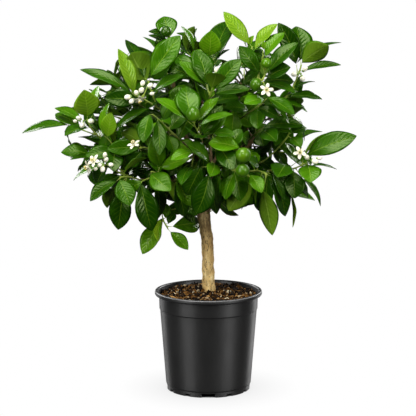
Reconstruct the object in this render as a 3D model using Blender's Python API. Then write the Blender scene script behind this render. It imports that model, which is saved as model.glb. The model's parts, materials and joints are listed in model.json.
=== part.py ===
"""A potted calamondin: a small citrus tree on a single stem, in a black nursery pot filled with bark compost.

The frame has +Z up and the front of the tree towards -Y. The origin is the centre of the pot's flat underside, on the
ground. Lengths in the tables are millimetres, and each mesh is scaled to metres when it is made.
"""

import math

import bpy
import numpy as np
from mathutils.bvhtree import BVHTree
from mathutils.geometry import delaunay_2d_cdt

MM = 0.001
UP = np.array([0.0, 0.0, 1.0])
BACK = np.array([0.0, 1.0, 0.0])
GOLDEN_ANGLE = math.radians(137.508)

# The gap that two pieces keep where one stands in or on the other.
GAP = 0.3

# The pot: a thermoformed shell with a rolled lip, a stacking shoulder and a stepped foot.
POT_HEIGHT = 178.0
RIM_RADIUS = 95.5
RIM_DROP = 8.2
LIP_WIDTH = 5.5
WALL = 2.0
NECK_RADIUS = 87.4
SHOULDER_Z = 145.0
SHOULDER_RADIUS = 86.2
SHOULDER_STEP = 1.2
FOOT_Z = 10.0
FOOT_RADIUS = 76.0
FOOT_STEP = 1.6
BASE_THICKNESS = 2.5
POT_SIDES = 36
DRAIN_COUNT = 4
DRAIN_WIDTH = 23.0
DRAIN_HEIGHT = 6.5
NOTCH_WIDTH = 7.0
NOTCH_HEIGHT = 3.5
NOTCH_TURN = math.radians(30)

# The compost, mounded a little round the trunk.
SOIL_Z = 169.5
SOIL_MOUND = 5.0
SOIL_ROUGHNESS = 1.6
SOIL_SIDES = 36

# The eye that the tables are read from: places in them are as seen from there on the upright plane through the trunk.
EYE = np.array([0.0, -2700.0, 740.0])

# Heights in the tables count from a level this far above the ground: the tree, grown from them, is lifted by as much.
LIFT = 3.0

# Leaves, stems and flowers.
LEAF_FOLD = 0.16
RIB_DEPTH = 0.4
LEAF_ARCH = 0.09
PETIOLE_HALF = 0.95
ROOT_HALF = 1.0
LEAST_ROOT = 0.4
END_MARGIN = 1.8
SHORT_STALK = 5.0
STEM_SIDES = 3
STEM_FOOT_RADIUS = 2.4
STEM_TIP_RADIUS = 1.7
STALK_RADIUS = 1.3
STALK_SIDES = 5
PEG_RADIUS = 1.3
PEG_SIDES = 4
TWIG_RADII = [3.3, 2.9, 2.7]
TWIG_SIDES = 3
LIMB_SIDES = 5
TRUNK_SIDES = 10
NODE_SPACING = 5.0
CALYX_RADIUS = 3.0
PEDICEL_RADIUS = 0.75
HUB_RADIUS = 2.6
PETAL_LENGTH = 12.5
PETAL_WIDTH = 7.4


def seen(x, z, y):
    """The point at depth y that the eye sees at (x, z) on the plane through the trunk."""
    share = (y - EYE[1]) / -EYE[1]
    return EYE + (np.array([x, 0.0, z]) - EYE) * share


def unit(v):
    return v / np.linalg.norm(v)


def square_to(v, axis):
    """The part of v square to axis, made a unit long."""
    return unit(v - axis * (v @ axis))


# The trunk from inside the compost to the fork, and the limbs: x, y, z and radius of each point.
TRUNK = [
    (0, 8, 118, 12.4), (0, 8, 166, 12.4), (0, 7, 196, 11.3), (-1, 5, 232, 10.8), (-2, 3, 262, 11.2),
    (-6, 1, 290, 10.8), (-9, 0, 312, 12.2), (-9, 0, 332, 9.0),
]
LIMBS = {
    "right": [(-6, 0, 314, 8.0), (10, -6, 345, 6.8), (35, -12, 385, 5.8), (62, -18, 425, 5.0), (86, -22, 456, 4.0)],
    "left": [(-10, 0, 314, 8.0), (-30, -8, 338, 6.4), (-58, -20, 375, 5.2), (-88, -32, 410, 4.0)],
    "leader": [(-9, 0, 318, 8.6), (-12, 5, 370, 7.4), (-10, 2, 430, 6.2), (-5, -10, 490, 5.0), (2, -20, 540, 3.6)],
    "back_right": [(-7, 3, 316, 7.0), (15, 40, 350, 6.0), (45, 80, 395, 5.0), (70, 108, 440, 3.8)],
    "back_left": [(-11, 3, 316, 7.0), (-35, 40, 355, 6.0), (-70, 75, 400, 5.0), (-100, 95, 445, 3.8)],
    "front": [(-8, -3, 316, 7.0), (-5, -40, 350, 5.8), (5, -75, 385, 4.8), (8, -98, 412, 3.8)],
    "upper_left": [(-11, 4, 396, 5.4), (-40, -15, 450, 4.6), (-60, -25, 500, 3.8), (-60, -30, 545, 3.2)],
    "upper_right": [(-10, 2, 426, 5.2), (20, -10, 470, 4.4), (46, -25, 515, 3.6), (56, -32, 545, 3.2)],
    "back_top": [(-11, 4, 404, 5.2), (-2, 60, 460, 4.2), (2, 98, 508, 3.4)],
}

# The shoots of the front, read from the eye. A stem is a list of (x, z, y). A leaf is its blade's foot (x, z), its tip
# (x, z), how far the tip lies behind the foot, its width, and how far its face is turned from the eye: 0 faces the
# eye, 90 faces up and 180 shows its underside.
SHOOTS = {
    "far_left": (
        [[(-150, 428, 0), (-192, 447, -15), (-208, 467, -20), (-212, 480, -25)],
         [(-196, 452, -12), (-226, 462, 8), (-243, 468, 14)]],
        [(-212, 485, -217, 531, -20, 45, 20), (-210, 490, -192, 538, 25, 28, 75), (-211, 464, -252, 450, -30, 30, 58),
         (-222, 474, -269, 499, 20, 30, 55), (-226, 464, -268, 489, 35, 32, 35), (-243, 468, -327, 455, 5, 32, 62)],
    ),
    "left_young": (
        [[(-138, 414, -30), (-160, 427, -60), (-177, 446, -70)]],
        [(-177, 449, -170, 491, -12, 30, 20), (-184, 452, -173, 509, 22, 27, 58)],
    ),
    "left_flowering": (
        [[(-120, 372, -50), (-150, 382, -75), (-166, 390, -88), (-180, 400, -100)],
         [(-146, 383, -68), (-176, 408, -35), (-203, 418, -8)]],
        [(-170, 403, -99, 415, -30, 27, 66), (-171, 408, -130, 454, 14, 27, 60), (-184, 412, -177, 455, -15, 27, 40),
         (-206, 417, -259, 421, 6, 29, 32), (-202, 421, -240, 435, 28, 27, 60), (-207, 412, -243, 408, 30, 20, 68),
         (-203, 410, -230, 387, 14, 20, 68), (-188, 396, -238, 371, 22, 22, 66), (-180, 394, -197, 362, 22, 32, 35)],
    ),
    "left_low": (
        [[(-104, 368, -45), (-138, 378, -88), (-157, 377, -104)]],
        [(-156, 372, -138, 326, -18, 40, 12), (-163, 369, -209, 334, -2, 30, 42), (-148, 358, -160, 283, 10, 40, 12),
         (-164, 360, -179, 322, 28, 28, 145), (-150, 384, -107, 411, 22, 25, 112)],
    ),
    "front_left": (
        [[(-66, 372, -70), (-90, 384, -112), (-102, 388, -122)],
         [(-78, 377, -90), (-104, 376, -98), (-119, 369, -104)]],
        [(-119, 365, -100, 281, 6, 42, 14), (-101, 384, -66, 353, -28, 36, 10), (-85, 397, -100, 447, -18, 36, 20),
         (-93, 372, -88, 304, 18, 26, 35)],
    ),
    "hanging_sprig": (
        [[(-42, 322, -18), (-64, 320, -26), (-84, 314, -34), (-79, 297, -40), (-71, 283, -42)]],
        [(-83, 297, -117, 239, -12, 35, 24), (-80, 306, -90, 262, -28, 18, 140), (-67, 279, -36, 247, -10, 24, 24),
         (-63, 289, -14, 295, 62, 31, 18), (-71, 294, -59, 313, 12, 19, 30), (-80, 302, -76, 331, 22, 20, 35)],
    ),
    "front_low": (
        [[(6, 405, -122), (5, 398, -140), (2, 389, -150)]],
        [(1, 382, -23, 311, 12, 40, 10), (-12, 400, -38, 345, 8, 38, 16), (12, 404, 3, 378, -24, 27, 20),
         (24, 404, 30, 376, 2, 24, 48), (22, 382, 17, 328, 18, 25, 25), (14, 386, 14, 311, 45, 26, 20)],
    ),
    "front_low_left": (
        [[(-20, 372, -66), (-44, 380, -108), (-57, 376, -122)],
         [(-32, 376, -86), (-28, 402, -124), (-24, 420, -140)]],
        [(-57, 371, -32, 326, 4, 27, 24), (-58, 364, -42, 306, 22, 27, 15), (-68, 372, -57, 331, 36, 24, 150),
         (-27, 421, -66, 407, -24, 25, 42)],
    ),
    "front_low_right": (
        [[(24, 392, -92), (44, 394, -130), (48, 387, -144)],
         [(34, 393, -111), (62, 382, -120), (74, 378, -126)]],
        [(46, 384, 30, 337, -6, 38, 14), (76, 366, 35, 317, 16, 40, 162), (70, 376, 83, 330, -18, 21, 72),
         (74, 380, 94, 349, -22, 26, 20)],
    ),
    "low_right": (
        [[(66, 388, -62), (90, 388, -96), (104, 382, -108)]],
        [(97, 352, 113, 273, 16, 36, 164), (104, 378, 99, 318, -4, 25, 20), (90, 372, 92, 315, 14, 25, 18),
         (112, 382, 133, 333, -4, 20, 50), (112, 378, 136, 307, 18, 36, 22), (94, 394, 68, 409, -30, 21, 36)],
    ),
    "right_low": (
        [[(92, 388, -36), (126, 390, -62), (150, 392, -74), (172, 402, -86)]],
        [(150, 387, 152, 339, -14, 40, 14), (173, 400, 180, 367, -34, 40, 14), (141, 406, 121, 377, -36, 42, 18),
         (179, 410, 260, 450, -8, 40, 20), (165, 408, 212, 455, 34, 26, 122), (182, 400, 226, 391, 10, 18, 74),
         (166, 374, 198, 325, 20, 20, 60), (158, 368, 175, 340, 30, 16, 60), (143, 352, 149, 287, 24, 17, 118)],
    ),
    "right_stem": (
        [[(76, 398, -28), (97, 404, -52), (120, 426, -66), (138, 447, -74), (143, 460, -76)]],
        [(143, 454, 170, 463, 14, 25, 42), (144, 449, 163, 430, -22, 25, 28), (131, 438, 150, 416, -12, 18, 55),
         (143, 462, 128, 486, 20, 26, 50)],
    ),
    "right_fan": (
        [[(58, 432, -36), (78, 450, -74), (92, 463, -92)]],
        [(93, 461, 120, 441, -36, 32, 25), (90, 458, 97, 432, -44, 34, 12), (98, 466, 166, 468, 14, 27, 62),
         (96, 461, 146, 457, -2, 27, 56), (76, 444, 57, 450, -30, 27, 26), (88, 466, 79, 472, 30, 16, 60)],
    ),
    "upper_right": (
        [[(94, 468, -22), (118, 498, -30), (145, 530, -34), (155, 552, -34), (162, 574, -34)]],
        [(163, 578, 209, 608, -16, 36, 158), (165, 588, 152, 641, 26, 46, 18), (160, 580, 121, 647, -4, 34, 148),
         (167, 584, 231, 613, 36, 27, 72), (163, 563, 231, 574, -8, 27, 54), (148, 534, 186, 545, 22, 17, 76),
         (138, 519, 199, 514, 4, 28, 60), (128, 508, 173, 492, 28, 20, 64)],
    ),
    "top_right": (
        [[(54, 518, -66), (78, 538, -88), (94, 548, -98), (99, 558, -100)],
         [(82, 540, -90), (92, 568, -84), (95, 598, -84)]],
        [(88, 561, 53, 607, -6, 30, 20), (104, 562, 156, 613, 6, 31, 38), (97, 556, 98, 583, -32, 25, 170),
         (102, 551, 143, 570, -14, 35, 24), (98, 542, 153, 524, -12, 23, 52), (97, 546, 149, 545, 18, 31, 36),
         (97, 590, 132, 630, 12, 28, 38), (95, 600, 99, 614, -4, 9, 20)],
    ),
    "crown_top": (
        [[(48, 560, -52), (62, 582, -62), (72, 597, -64), (77, 606, -64)]],
        [(71, 611, 26, 666, 0, 30, 30), (80, 604, 120, 645, 2, 28, 32), (76, 606, 79, 625, -6, 10, 20),
         (66, 606, 28, 653, 18, 20, 70), (70, 596, 104, 612, 30, 24, 50)],
    ),
    "top_middle": (
        [[(4, 548, -34), (6, 570, -56), (4, 586, -62)],
         [(3, 560, -42), (-18, 578, -30), (-34, 594, -20)]],
        [(2, 590, 5, 634, -22, 38, 168), (9, 589, 36, 649, 22, 40, 24), (10, 588, 44, 635, 4, 27, 54),
         (-24, 592, -47, 641, -14, 24, 66), (-38, 598, -24, 641, 14, 28, 142), (-38, 596, -70, 604, -20, 28, 60)],
    ),
    "centre_top": (
        [[(-2, 500, -88), (2, 518, -122), (6, 531, -136)]],
        [(-4, 542, -23, 600, 14, 38, 14), (5, 534, 13, 560, -40, 36, 168), (12, 532, 57, 584, 6, 32, 20),
         (-5, 540, -51, 580, -2, 25, 58), (0, 530, -28, 548, -18, 20, 50), (12, 524, 72, 532, -6, 27, 48)],
    ),
    "centre": (
        [[(-10, 440, -118), (-18, 456, -146), (-24, 468, -156)]],
        [(-28, 478, -39, 537, 34, 44, 8), (-36, 478, -93, 515, -4, 27, 48), (-18, 476, 18, 517, -4, 27, 48),
         (-18, 466, 43, 488, -10, 23, 60), (-18, 453, -24, 447, -50, 44, 10)],
    ),
    "centre_left": (
        [[(-46, 440, -86), (-66, 458, -116), (-84, 476, -128), (-98, 489, -132)]],
        [(-62, 460, -106, 458, -22, 28, 42), (-60, 466, -89, 478, 24, 32, 36), (-103, 488, -115, 438, -18, 28, 28),
         (-80, 478, -62, 508, -10, 28, 40), (-72, 454, -60, 420, -14, 28, 20)],
    ),
    "upper_left": (
        [[(-68, 484, -52), (-92, 502, -84), (-112, 514, -96), (-130, 521, -100)],
         [(-88, 499, -79), (-99, 524, -88), (-104, 545, -90)]],
        [(-137, 529, -224, 566, 18, 34, 36), (-132, 524, -157, 602, -6, 32, 24), (-112, 552, -144, 618, 30, 28, 36),
         (-107, 550, -134, 595, -18, 44, 164), (-100, 556, -49, 625, 4, 42, 14), (-97, 529, -43, 556, -8, 28, 52),
         (-96, 520, -67, 541, 8, 21, 62), (-122, 512, -181, 516, -8, 27, 150), (-134, 524, -161, 531, 22, 18, 54),
         (-112, 506, -176, 484, 14, 24, 68), (-104, 498, -163, 463, -4, 27, 56)],
    ),
    "top_left": (
        [[(-58, 556, -26), (-61, 590, -36), (-66, 618, -40)]],
        [(-69, 621, -77, 658, 24, 38, 8), (-68, 622, -104, 632, -14, 23, 58), (-68, 612, -104, 626, 16, 20, 58),
         (-62, 590, -96, 549, 10, 35, 28), (-60, 588, -30, 566, -24, 30, 30)],
    ),
    "left_middle": (
        [[(-92, 420, -52), (-112, 430, -78), (-122, 428, -92)]],
        [(-118, 434, -153, 456, 10, 30, 146), (-106, 428, -66, 434, -8, 27, 50), (-104, 430, -130, 472, 20, 28, 34),
         (-118, 422, -142, 396, 14, 28, 24)],
    ),
    "centre_right": (
        [[(18, 418, -102), (40, 426, -134), (56, 424, -150)],
         [(26, 421, -114), (14, 438, -134), (6, 450, -142)]],
        [(58, 424, 0, 437, -16, 28, 34), (6, 454, 46, 452, -14, 25, 48), (34, 430, 58, 462, 10, 30, 28)],
    ),
    "right_middle": (
        [[(48, 474, -62), (72, 492, -92), (92, 506, -110), (101, 515, -114)]],
        [(102, 517, 151, 487, -10, 28, 42), (100, 516, 62, 506, -20, 27, 46), (70, 492, 28, 500, -18, 27, 40),
         (84, 498, 86, 462, -26, 30, 24), (98, 506, 142, 470, 14, 18, 60), (88, 500, 123, 482, 6, 25, 36)],
    ),
    "inner_left": (
        [[(-36, 412, -26), (-58, 440, -58), (-74, 462, -72)]],
        [(-60, 445, -100, 420, 10, 34, 20), (-66, 452, -50, 405, 0, 34, 15), (-75, 462, -125, 470, 10, 32, 40),
         (-70, 458, -40, 490, 5, 32, 25), (-60, 440, -20, 425, 10, 30, 30), (-72, 460, -95, 505, 10, 30, 20)],
    ),
    "inner_right": (
        [[(14, 462, -26), (34, 484, -52), (50, 505, -68)]],
        [(40, 490, 80, 470, 5, 32, 25), (48, 500, 20, 540, 10, 34, 20), (50, 505, 85, 520, 10, 30, 35),
         (36, 486, 0, 470, 10, 32, 20), (44, 495, 40, 450, 0, 34, 15), (50, 505, 55, 550, 5, 32, 20)],
    ),
    "inner_top": (
        [[(-14, 512, -14), (-25, 542, -40), (-28, 565, -52)]],
        [(-26, 555, -75, 575, 10, 34, 25), (-28, 565, 0, 600, 10, 32, 20), (-24, 545, 10, 520, 0, 34, 20),
         (-27, 560, -50, 610, 5, 32, 20), (-22, 535, -60, 520, 10, 32, 20), (-28, 562, 20, 565, 10, 30, 30)],
    ),
    "inner_low": (
        [[(26, 380, -26), (44, 372, -50), (62, 368, -64)]],
        [(45, 372, 50, 325, 5, 32, 20), (60, 368, 85, 330, 10, 32, 20), (50, 370, 20, 345, 0, 32, 20),
         (40, 374, 10, 395, 10, 32, 25), (62, 368, 100, 380, 10, 32, 40), (55, 370, 75, 405, 5, 30, 25)],
    ),
}

# The fruit: centre (x, z, y), radius, the way to its stalk, and the shoot that bears it.
FRUITS = {
    "fruit_centre": ((-27, 488, -166), 11.0, (0.1, 0.1, -1.0), "centre"),
    "fruit_crown": ((-74, 632, -58), 9.8, (0.5, 0.4, -0.8), "top_left"),
    "fruit_upper_right": ((83, 540, -124), 10.6, (0.4, 0.7, 0.3), "top_right"),
    "fruit_right": ((61, 416, -168), 12.8, (-0.2, 0.8, 0.5), "centre_right"),
    "fruit_low_right": ((60, 389, -166), 11.6, (0.5, 0.8, -0.4), "front_low_right"),
    "fruit_top_right": ((101, 577, -118), 9.0, (-0.3, 0.4, -0.9), "top_right"),
}

# The flower clusters: the shoot, the buds as (x, z, y, radius) and the open flowers as centre (x, z, y) and the way
# each faces.
CLUSTERS = {
    "blossom_upper_left": (
        "upper_left",
        [(-141, 518, -116, 5.0), (-134, 511, -118, 4.6), (-126, 526, -120, 4.4), (-117, 530, -118, 5.0),
         (-115, 542, -112, 4.4), (-102, 538, -114, 4.6), (-99, 524, -112, 3.6)],
        [((-121, 517, -122), (0.2, -0.5, -0.8))],
    ),
    "blossom_far_left": (
        "far_left",
        [(-227, 481, -40, 4.2), (-233, 476, -38, 3.2), (-221, 469, -44, 5.0), (-206, 476, -42, 5.0)],
        [],
    ),
    "blossom_left": (
        "left_flowering",
        [(-182, 416, -116, 4.2), (-180, 408, -114, 4.2), (-191, 398, -118, 4.0), (-186, 392, -114, 4.8),
         (-172, 399, -112, 4.0), (-198, 392, -112, 3.6)],
        [((-200, 405, -122), (-0.5, -0.8, 0.5)), ((-209, 396, -114), (-0.8, -0.5, -0.2))],
    ),
    "blossom_left_middle": ("left_middle", [], [((-130, 433, -112), (-0.3, -0.5, 0.8))]),
    "blossom_upper_right": ("top_right", [], [((101, 530, -138), (0.1, -0.9, 0.2))]),
    "blossom_top": ("centre_top", [(14, 565, -124, 4.6)], []),
    "blossom_right_tip": (
        "upper_right",
        [(150, 558, -40, 5.0), (163, 552, -42, 4.6), (168, 567, -44, 4.6)],
        [],
    ),
    "blossom_right": (
        "right_low",
        [(173, 412, -100, 4.8), (187, 405, -98, 5.4), (195, 411, -92, 4.0)],
        [((161, 420, -100), (-0.1, -0.9, 0.3))],
    ),
}

# The crown's outline and the gaps in it, as the eye sees them: leaves grown by rule keep inside one and off the other.
OUTLINE = np.array([
    (-200, 322), (-234, 372), (-226, 398), (-256, 420), (-238, 440), (-300, 460), (-262, 478), (-266, 496),
    (-238, 516), (-216, 548), (-208, 562), (-160, 570), (-154, 598), (-142, 614), (-98, 628), (-84, 655),
    (-62, 650), (-26, 643), (4, 636), (30, 650), (60, 640), (118, 643), (152, 638), (178, 616), (222, 610),
    (182, 592), (222, 573), (180, 556), (184, 543), (150, 532), (194, 514), (160, 504), (150, 482), (166, 468),
    (206, 456), (252, 448), (236, 430), (184, 404), (196, 388), (180, 368), (194, 330), (154, 320), (146, 292),
    (116, 282), (62, 320), (20, 316), (-22, 318), (-62, 336), (-100, 288), (-160, 288), (-178, 320),
])
WINDOWS = [
    (47, 615, 15), (124, 610, 12), (140, 585, 12), (151, 568, 8), (-35, 549, 8), (70, 550, 6), (-165, 497, 9),
    (124, 488, 9), (-154, 482, 13), (80, 470, 9), (-146, 464, 10), (69, 454, 7), (-218, 445, 11), (172, 434, 7),
    (-68, 332, 10), (-55, 310, 12), (-31, 313, 7), (-93, 294, 6),
]

# The shoots of the back and sides are set round the crown by rule.
CROWN_CENTRE = np.array([-20.0, 4.0, 450.0])
CROWN_RADII = np.array([218.0, 214.0, 182.0])
RULE_STEM_LEAVES = (6, 4)
FRONT_FILLERS = 2
BACK_FILLERS = 3
SPIRAL_POINTS = 27
FRONT_LIMIT = -0.12
SEED = 11

# How a blade keeps clear of what is already placed: it is tried a little thicker and wider than it is, in mm.
CLEAR = 0.9

# Where along a blade its rings of points lie, as shares of its length.
READ_STATIONS = (0.2, 0.5, 0.8)
RULE_STATIONS = (0.28, 0.66)


def leaf_of(root, foot, tip, normal, width):
    """A leaf as its named places, with the face's normal made square to the blade."""
    return {"root": root, "foot": foot, "tip": tip, "normal": square_to(normal, unit(tip - foot)), "width": width}


def faced(foot, tip, turn):
    """The normal of a blade from foot to tip, turned by so many degrees from the eye towards the sky."""
    along = unit(tip - foot)
    to_eye = square_to(EYE - foot, along)
    skyward = np.cross(along, to_eye)
    skyward = skyward if skyward @ UP >= 0 else -skyward
    angle = math.radians(turn)
    return to_eye * math.cos(angle) + skyward * math.sin(angle)


def nearest_on(path, point):
    """The point of a polyline nearest to a point, kept a little short of its two ends."""
    a, b = path[:-1], path[1:]
    run = b - a
    length = np.linalg.norm(run, axis=1)
    low, high = np.zeros(len(run)), np.ones(len(run))
    low[0], high[-1] = END_MARGIN / length[0], 1 - END_MARGIN / length[-1]
    share = np.clip(((point - a) * run).sum(1) / length**2, low, high)
    near = a + run * share[:, None]
    return near[np.argmin(((near - point) ** 2).sum(1))]


def nearest_of(paths, point):
    near = [nearest_on(path, point) for path in paths]
    return min(near, key=lambda p: float(((p - point) ** 2).sum()))


def front_of(point):
    """Where the eye sees a point, as (x, z) on the upright plane through the trunk."""
    share = -EYE[1] / (point[1] - EYE[1])
    return np.array([point[0] * share, EYE[2] + (point[2] - EYE[2]) * share])


def stem_nodes(paths, leaf_count):
    """Places for leaves up the stems: point, the stem's way there, and whether it is the stem's end."""
    reaches = [np.concatenate([[0.0], np.cumsum(np.linalg.norm(np.diff(path, axis=0), axis=1))]) for path in paths]
    spacing = min(NODE_SPACING, sum(reach[-1] - 7.5 for reach in reaches) / (1.5 * leaf_count))
    nodes = []
    for path, reach in zip(paths, reaches):
        for at in np.arange(reach[-1] - END_MARGIN, 5.0, -spacing):
            i = min(int(np.searchsorted(reach, at)) - 1, len(path) - 2)
            way = unit(path[i + 1] - path[i])
            nodes.append((path[i] + way * (at - reach[i]), way, at > reach[-1] - 3.0))
    return nodes


def outline(v):
    """Half the blade's width at v, as a share: full past the middle, drawn in to the foot and the tip."""
    return np.sin(math.pi * v**1.06) ** 0.8


def rib(leaf, v, arch=LEAF_ARCH):
    """The midrib: straight from foot to tip, raised along the normal by a parabola."""
    run = leaf["tip"] - leaf["foot"]
    rise = 4 * arch * np.linalg.norm(run) * v * (1 - v)
    return leaf["foot"] + run * v + leaf["normal"] * rise


def leaf_rings(leaf, stations, clear=0.0):
    """Rings of three points along the blade: its two edges, raised, and the rib under them."""
    side = np.cross(leaf["normal"], unit(leaf["tip"] - leaf["foot"]))
    rings = []
    for v in stations:
        half = 0.5 * leaf["width"] * float(outline(v)) + 0.5 * clear
        mid = rib(leaf, v)
        lift = leaf["normal"] * (half * LEAF_FOLD + clear)
        rings.append([mid + side * half + lift, mid - side * half + lift, mid - leaf["normal"] * (RIB_DEPTH + clear)])
    return rings


def foot_ring(leaf, clear=0.0):
    """The end of a leaf's stalk at the foot of the blade, set square to the bend between them."""
    bend = unit(unit(leaf["foot"] - leaf["root"]) + unit(leaf["tip"] - leaf["foot"]))
    side = square_to(np.cross(leaf["normal"], unit(leaf["tip"] - leaf["foot"])), bend) * (PETIOLE_HALF + clear)
    up = np.cross(bend, side)
    return [leaf["foot"] + side + up * 0.5, leaf["foot"] - side + up * 0.5, leaf["foot"] - up]


def blade_of(leaf, stations, clear=0.0):
    return skin([foot_ring(leaf, clear), *leaf_rings(leaf, stations, clear)], leaf["tip"])


def skin(rings, tip=None, root=None):
    """Points and triangles of a skin over rings of equal count, each end closed flat or drawn to a point."""
    rings = [np.asarray(ring, float) for ring in rings]
    count = len(rings[0])
    points = np.concatenate(rings)
    faces = []
    for i in range(len(rings) - 1):
        a, b = i * count, (i + 1) * count
        for k in range(count):
            n = (k + 1) % count
            faces += [(a + k, a + n, b + n), (a + k, b + n, b + k)]
    last = (len(rings) - 1) * count
    if tip is None:
        faces += [(last, last + k, last + k + 1) for k in range(1, count - 1)]
    else:
        points = np.vstack([points, tip])
        faces += [(last + k, last + (k + 1) % count, len(points) - 1) for k in range(count)]
    if root is None:
        faces += [(0, k + 1, k) for k in range(1, count - 1)]
    else:
        points = np.vstack([points, root])
        faces += [((k + 1) % count, k, len(points) - 1) for k in range(count)]
    return points, faces


def frames(path, first=None):
    """Unit tangents and one square-on direction for each point of a path, carried along without twist."""
    path = np.asarray(path, float)
    run = np.diff(path, axis=0)
    run /= np.linalg.norm(run, axis=1)[:, None]
    tangents = np.vstack([run[:1], run[:-1] + run[1:], run[-1:]])
    if first is not None:
        tangents[0] = first
    tangents /= np.linalg.norm(tangents, axis=1)[:, None]
    across = [square_to(np.array([0.37, 0.81, 0.45]), tangents[0])]
    for t in tangents[1:]:
        across.append(square_to(across[-1], t))
    return tangents, np.array(across)


def tube(path, radii, sides, first=None):
    """A round-ish rod along a path, with flat ends."""
    tangents, across = frames(path, first)
    other = np.cross(tangents, across)
    angle = np.arange(sides) * 2 * math.pi / sides
    radii = np.broadcast_to(radii, len(path))
    rings = [
        p + r * (np.cos(angle)[:, None] * a + np.sin(angle)[:, None] * o)
        for p, r, a, o in zip(np.asarray(path, float), radii, across, other)
    ]
    return skin(rings)


def spun(profile, sides):
    """A profile of (radius, z) turned round the pot's axis; radius 0 closes on the axis."""
    angle = np.arange(sides) * 2 * math.pi / sides
    rings, points, faces = [], [], []
    for radius, z in profile:
        start = len(points)
        if radius == 0:
            points.append((0.0, 0.0, z))
            rings.append([start] * sides)
        else:
            points += [(radius * math.cos(t), radius * math.sin(t), z) for t in angle]
            rings.append(list(range(start, start + sides)))
    for a, b in zip(rings, rings[1:]):
        for k in range(sides):
            n = (k + 1) % sides
            quad = [a[k], a[n], b[n], b[k]]
            corners = [q for i, q in enumerate(quad) if q != quad[i - 1]]
            faces.append(tuple(corners))
    return np.array(points, float), faces


def ball(centre, radius, axis, stretch, sides, bands, point=0.0):
    """An egg about an axis: rings of a sphere, stretched along the axis and drawn to a point at its end."""
    axis = unit(np.asarray(axis, float))
    across = square_to(np.array([0.31, 0.22, 0.92]) if abs(axis[2]) < 0.9 else np.array([1.0, 0.2, 0.0]), axis)
    other = np.cross(axis, across)
    angle = np.arange(sides) * 2 * math.pi / sides
    rings = []
    for i in range(1, bands):
        lat = -math.pi / 2 + math.pi * i / bands
        along = radius * stretch * (math.sin(lat) + point * max(0.0, math.sin(lat)) ** 6)
        out = radius * math.cos(lat)
        rings.append(centre + axis * along + out * (
            np.cos(angle)[:, None] * across + np.sin(angle)[:, None] * other))
    low, high = centre - axis * radius * stretch, centre + axis * radius * stretch * (1 + point)
    return skin(rings, high, low)


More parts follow.
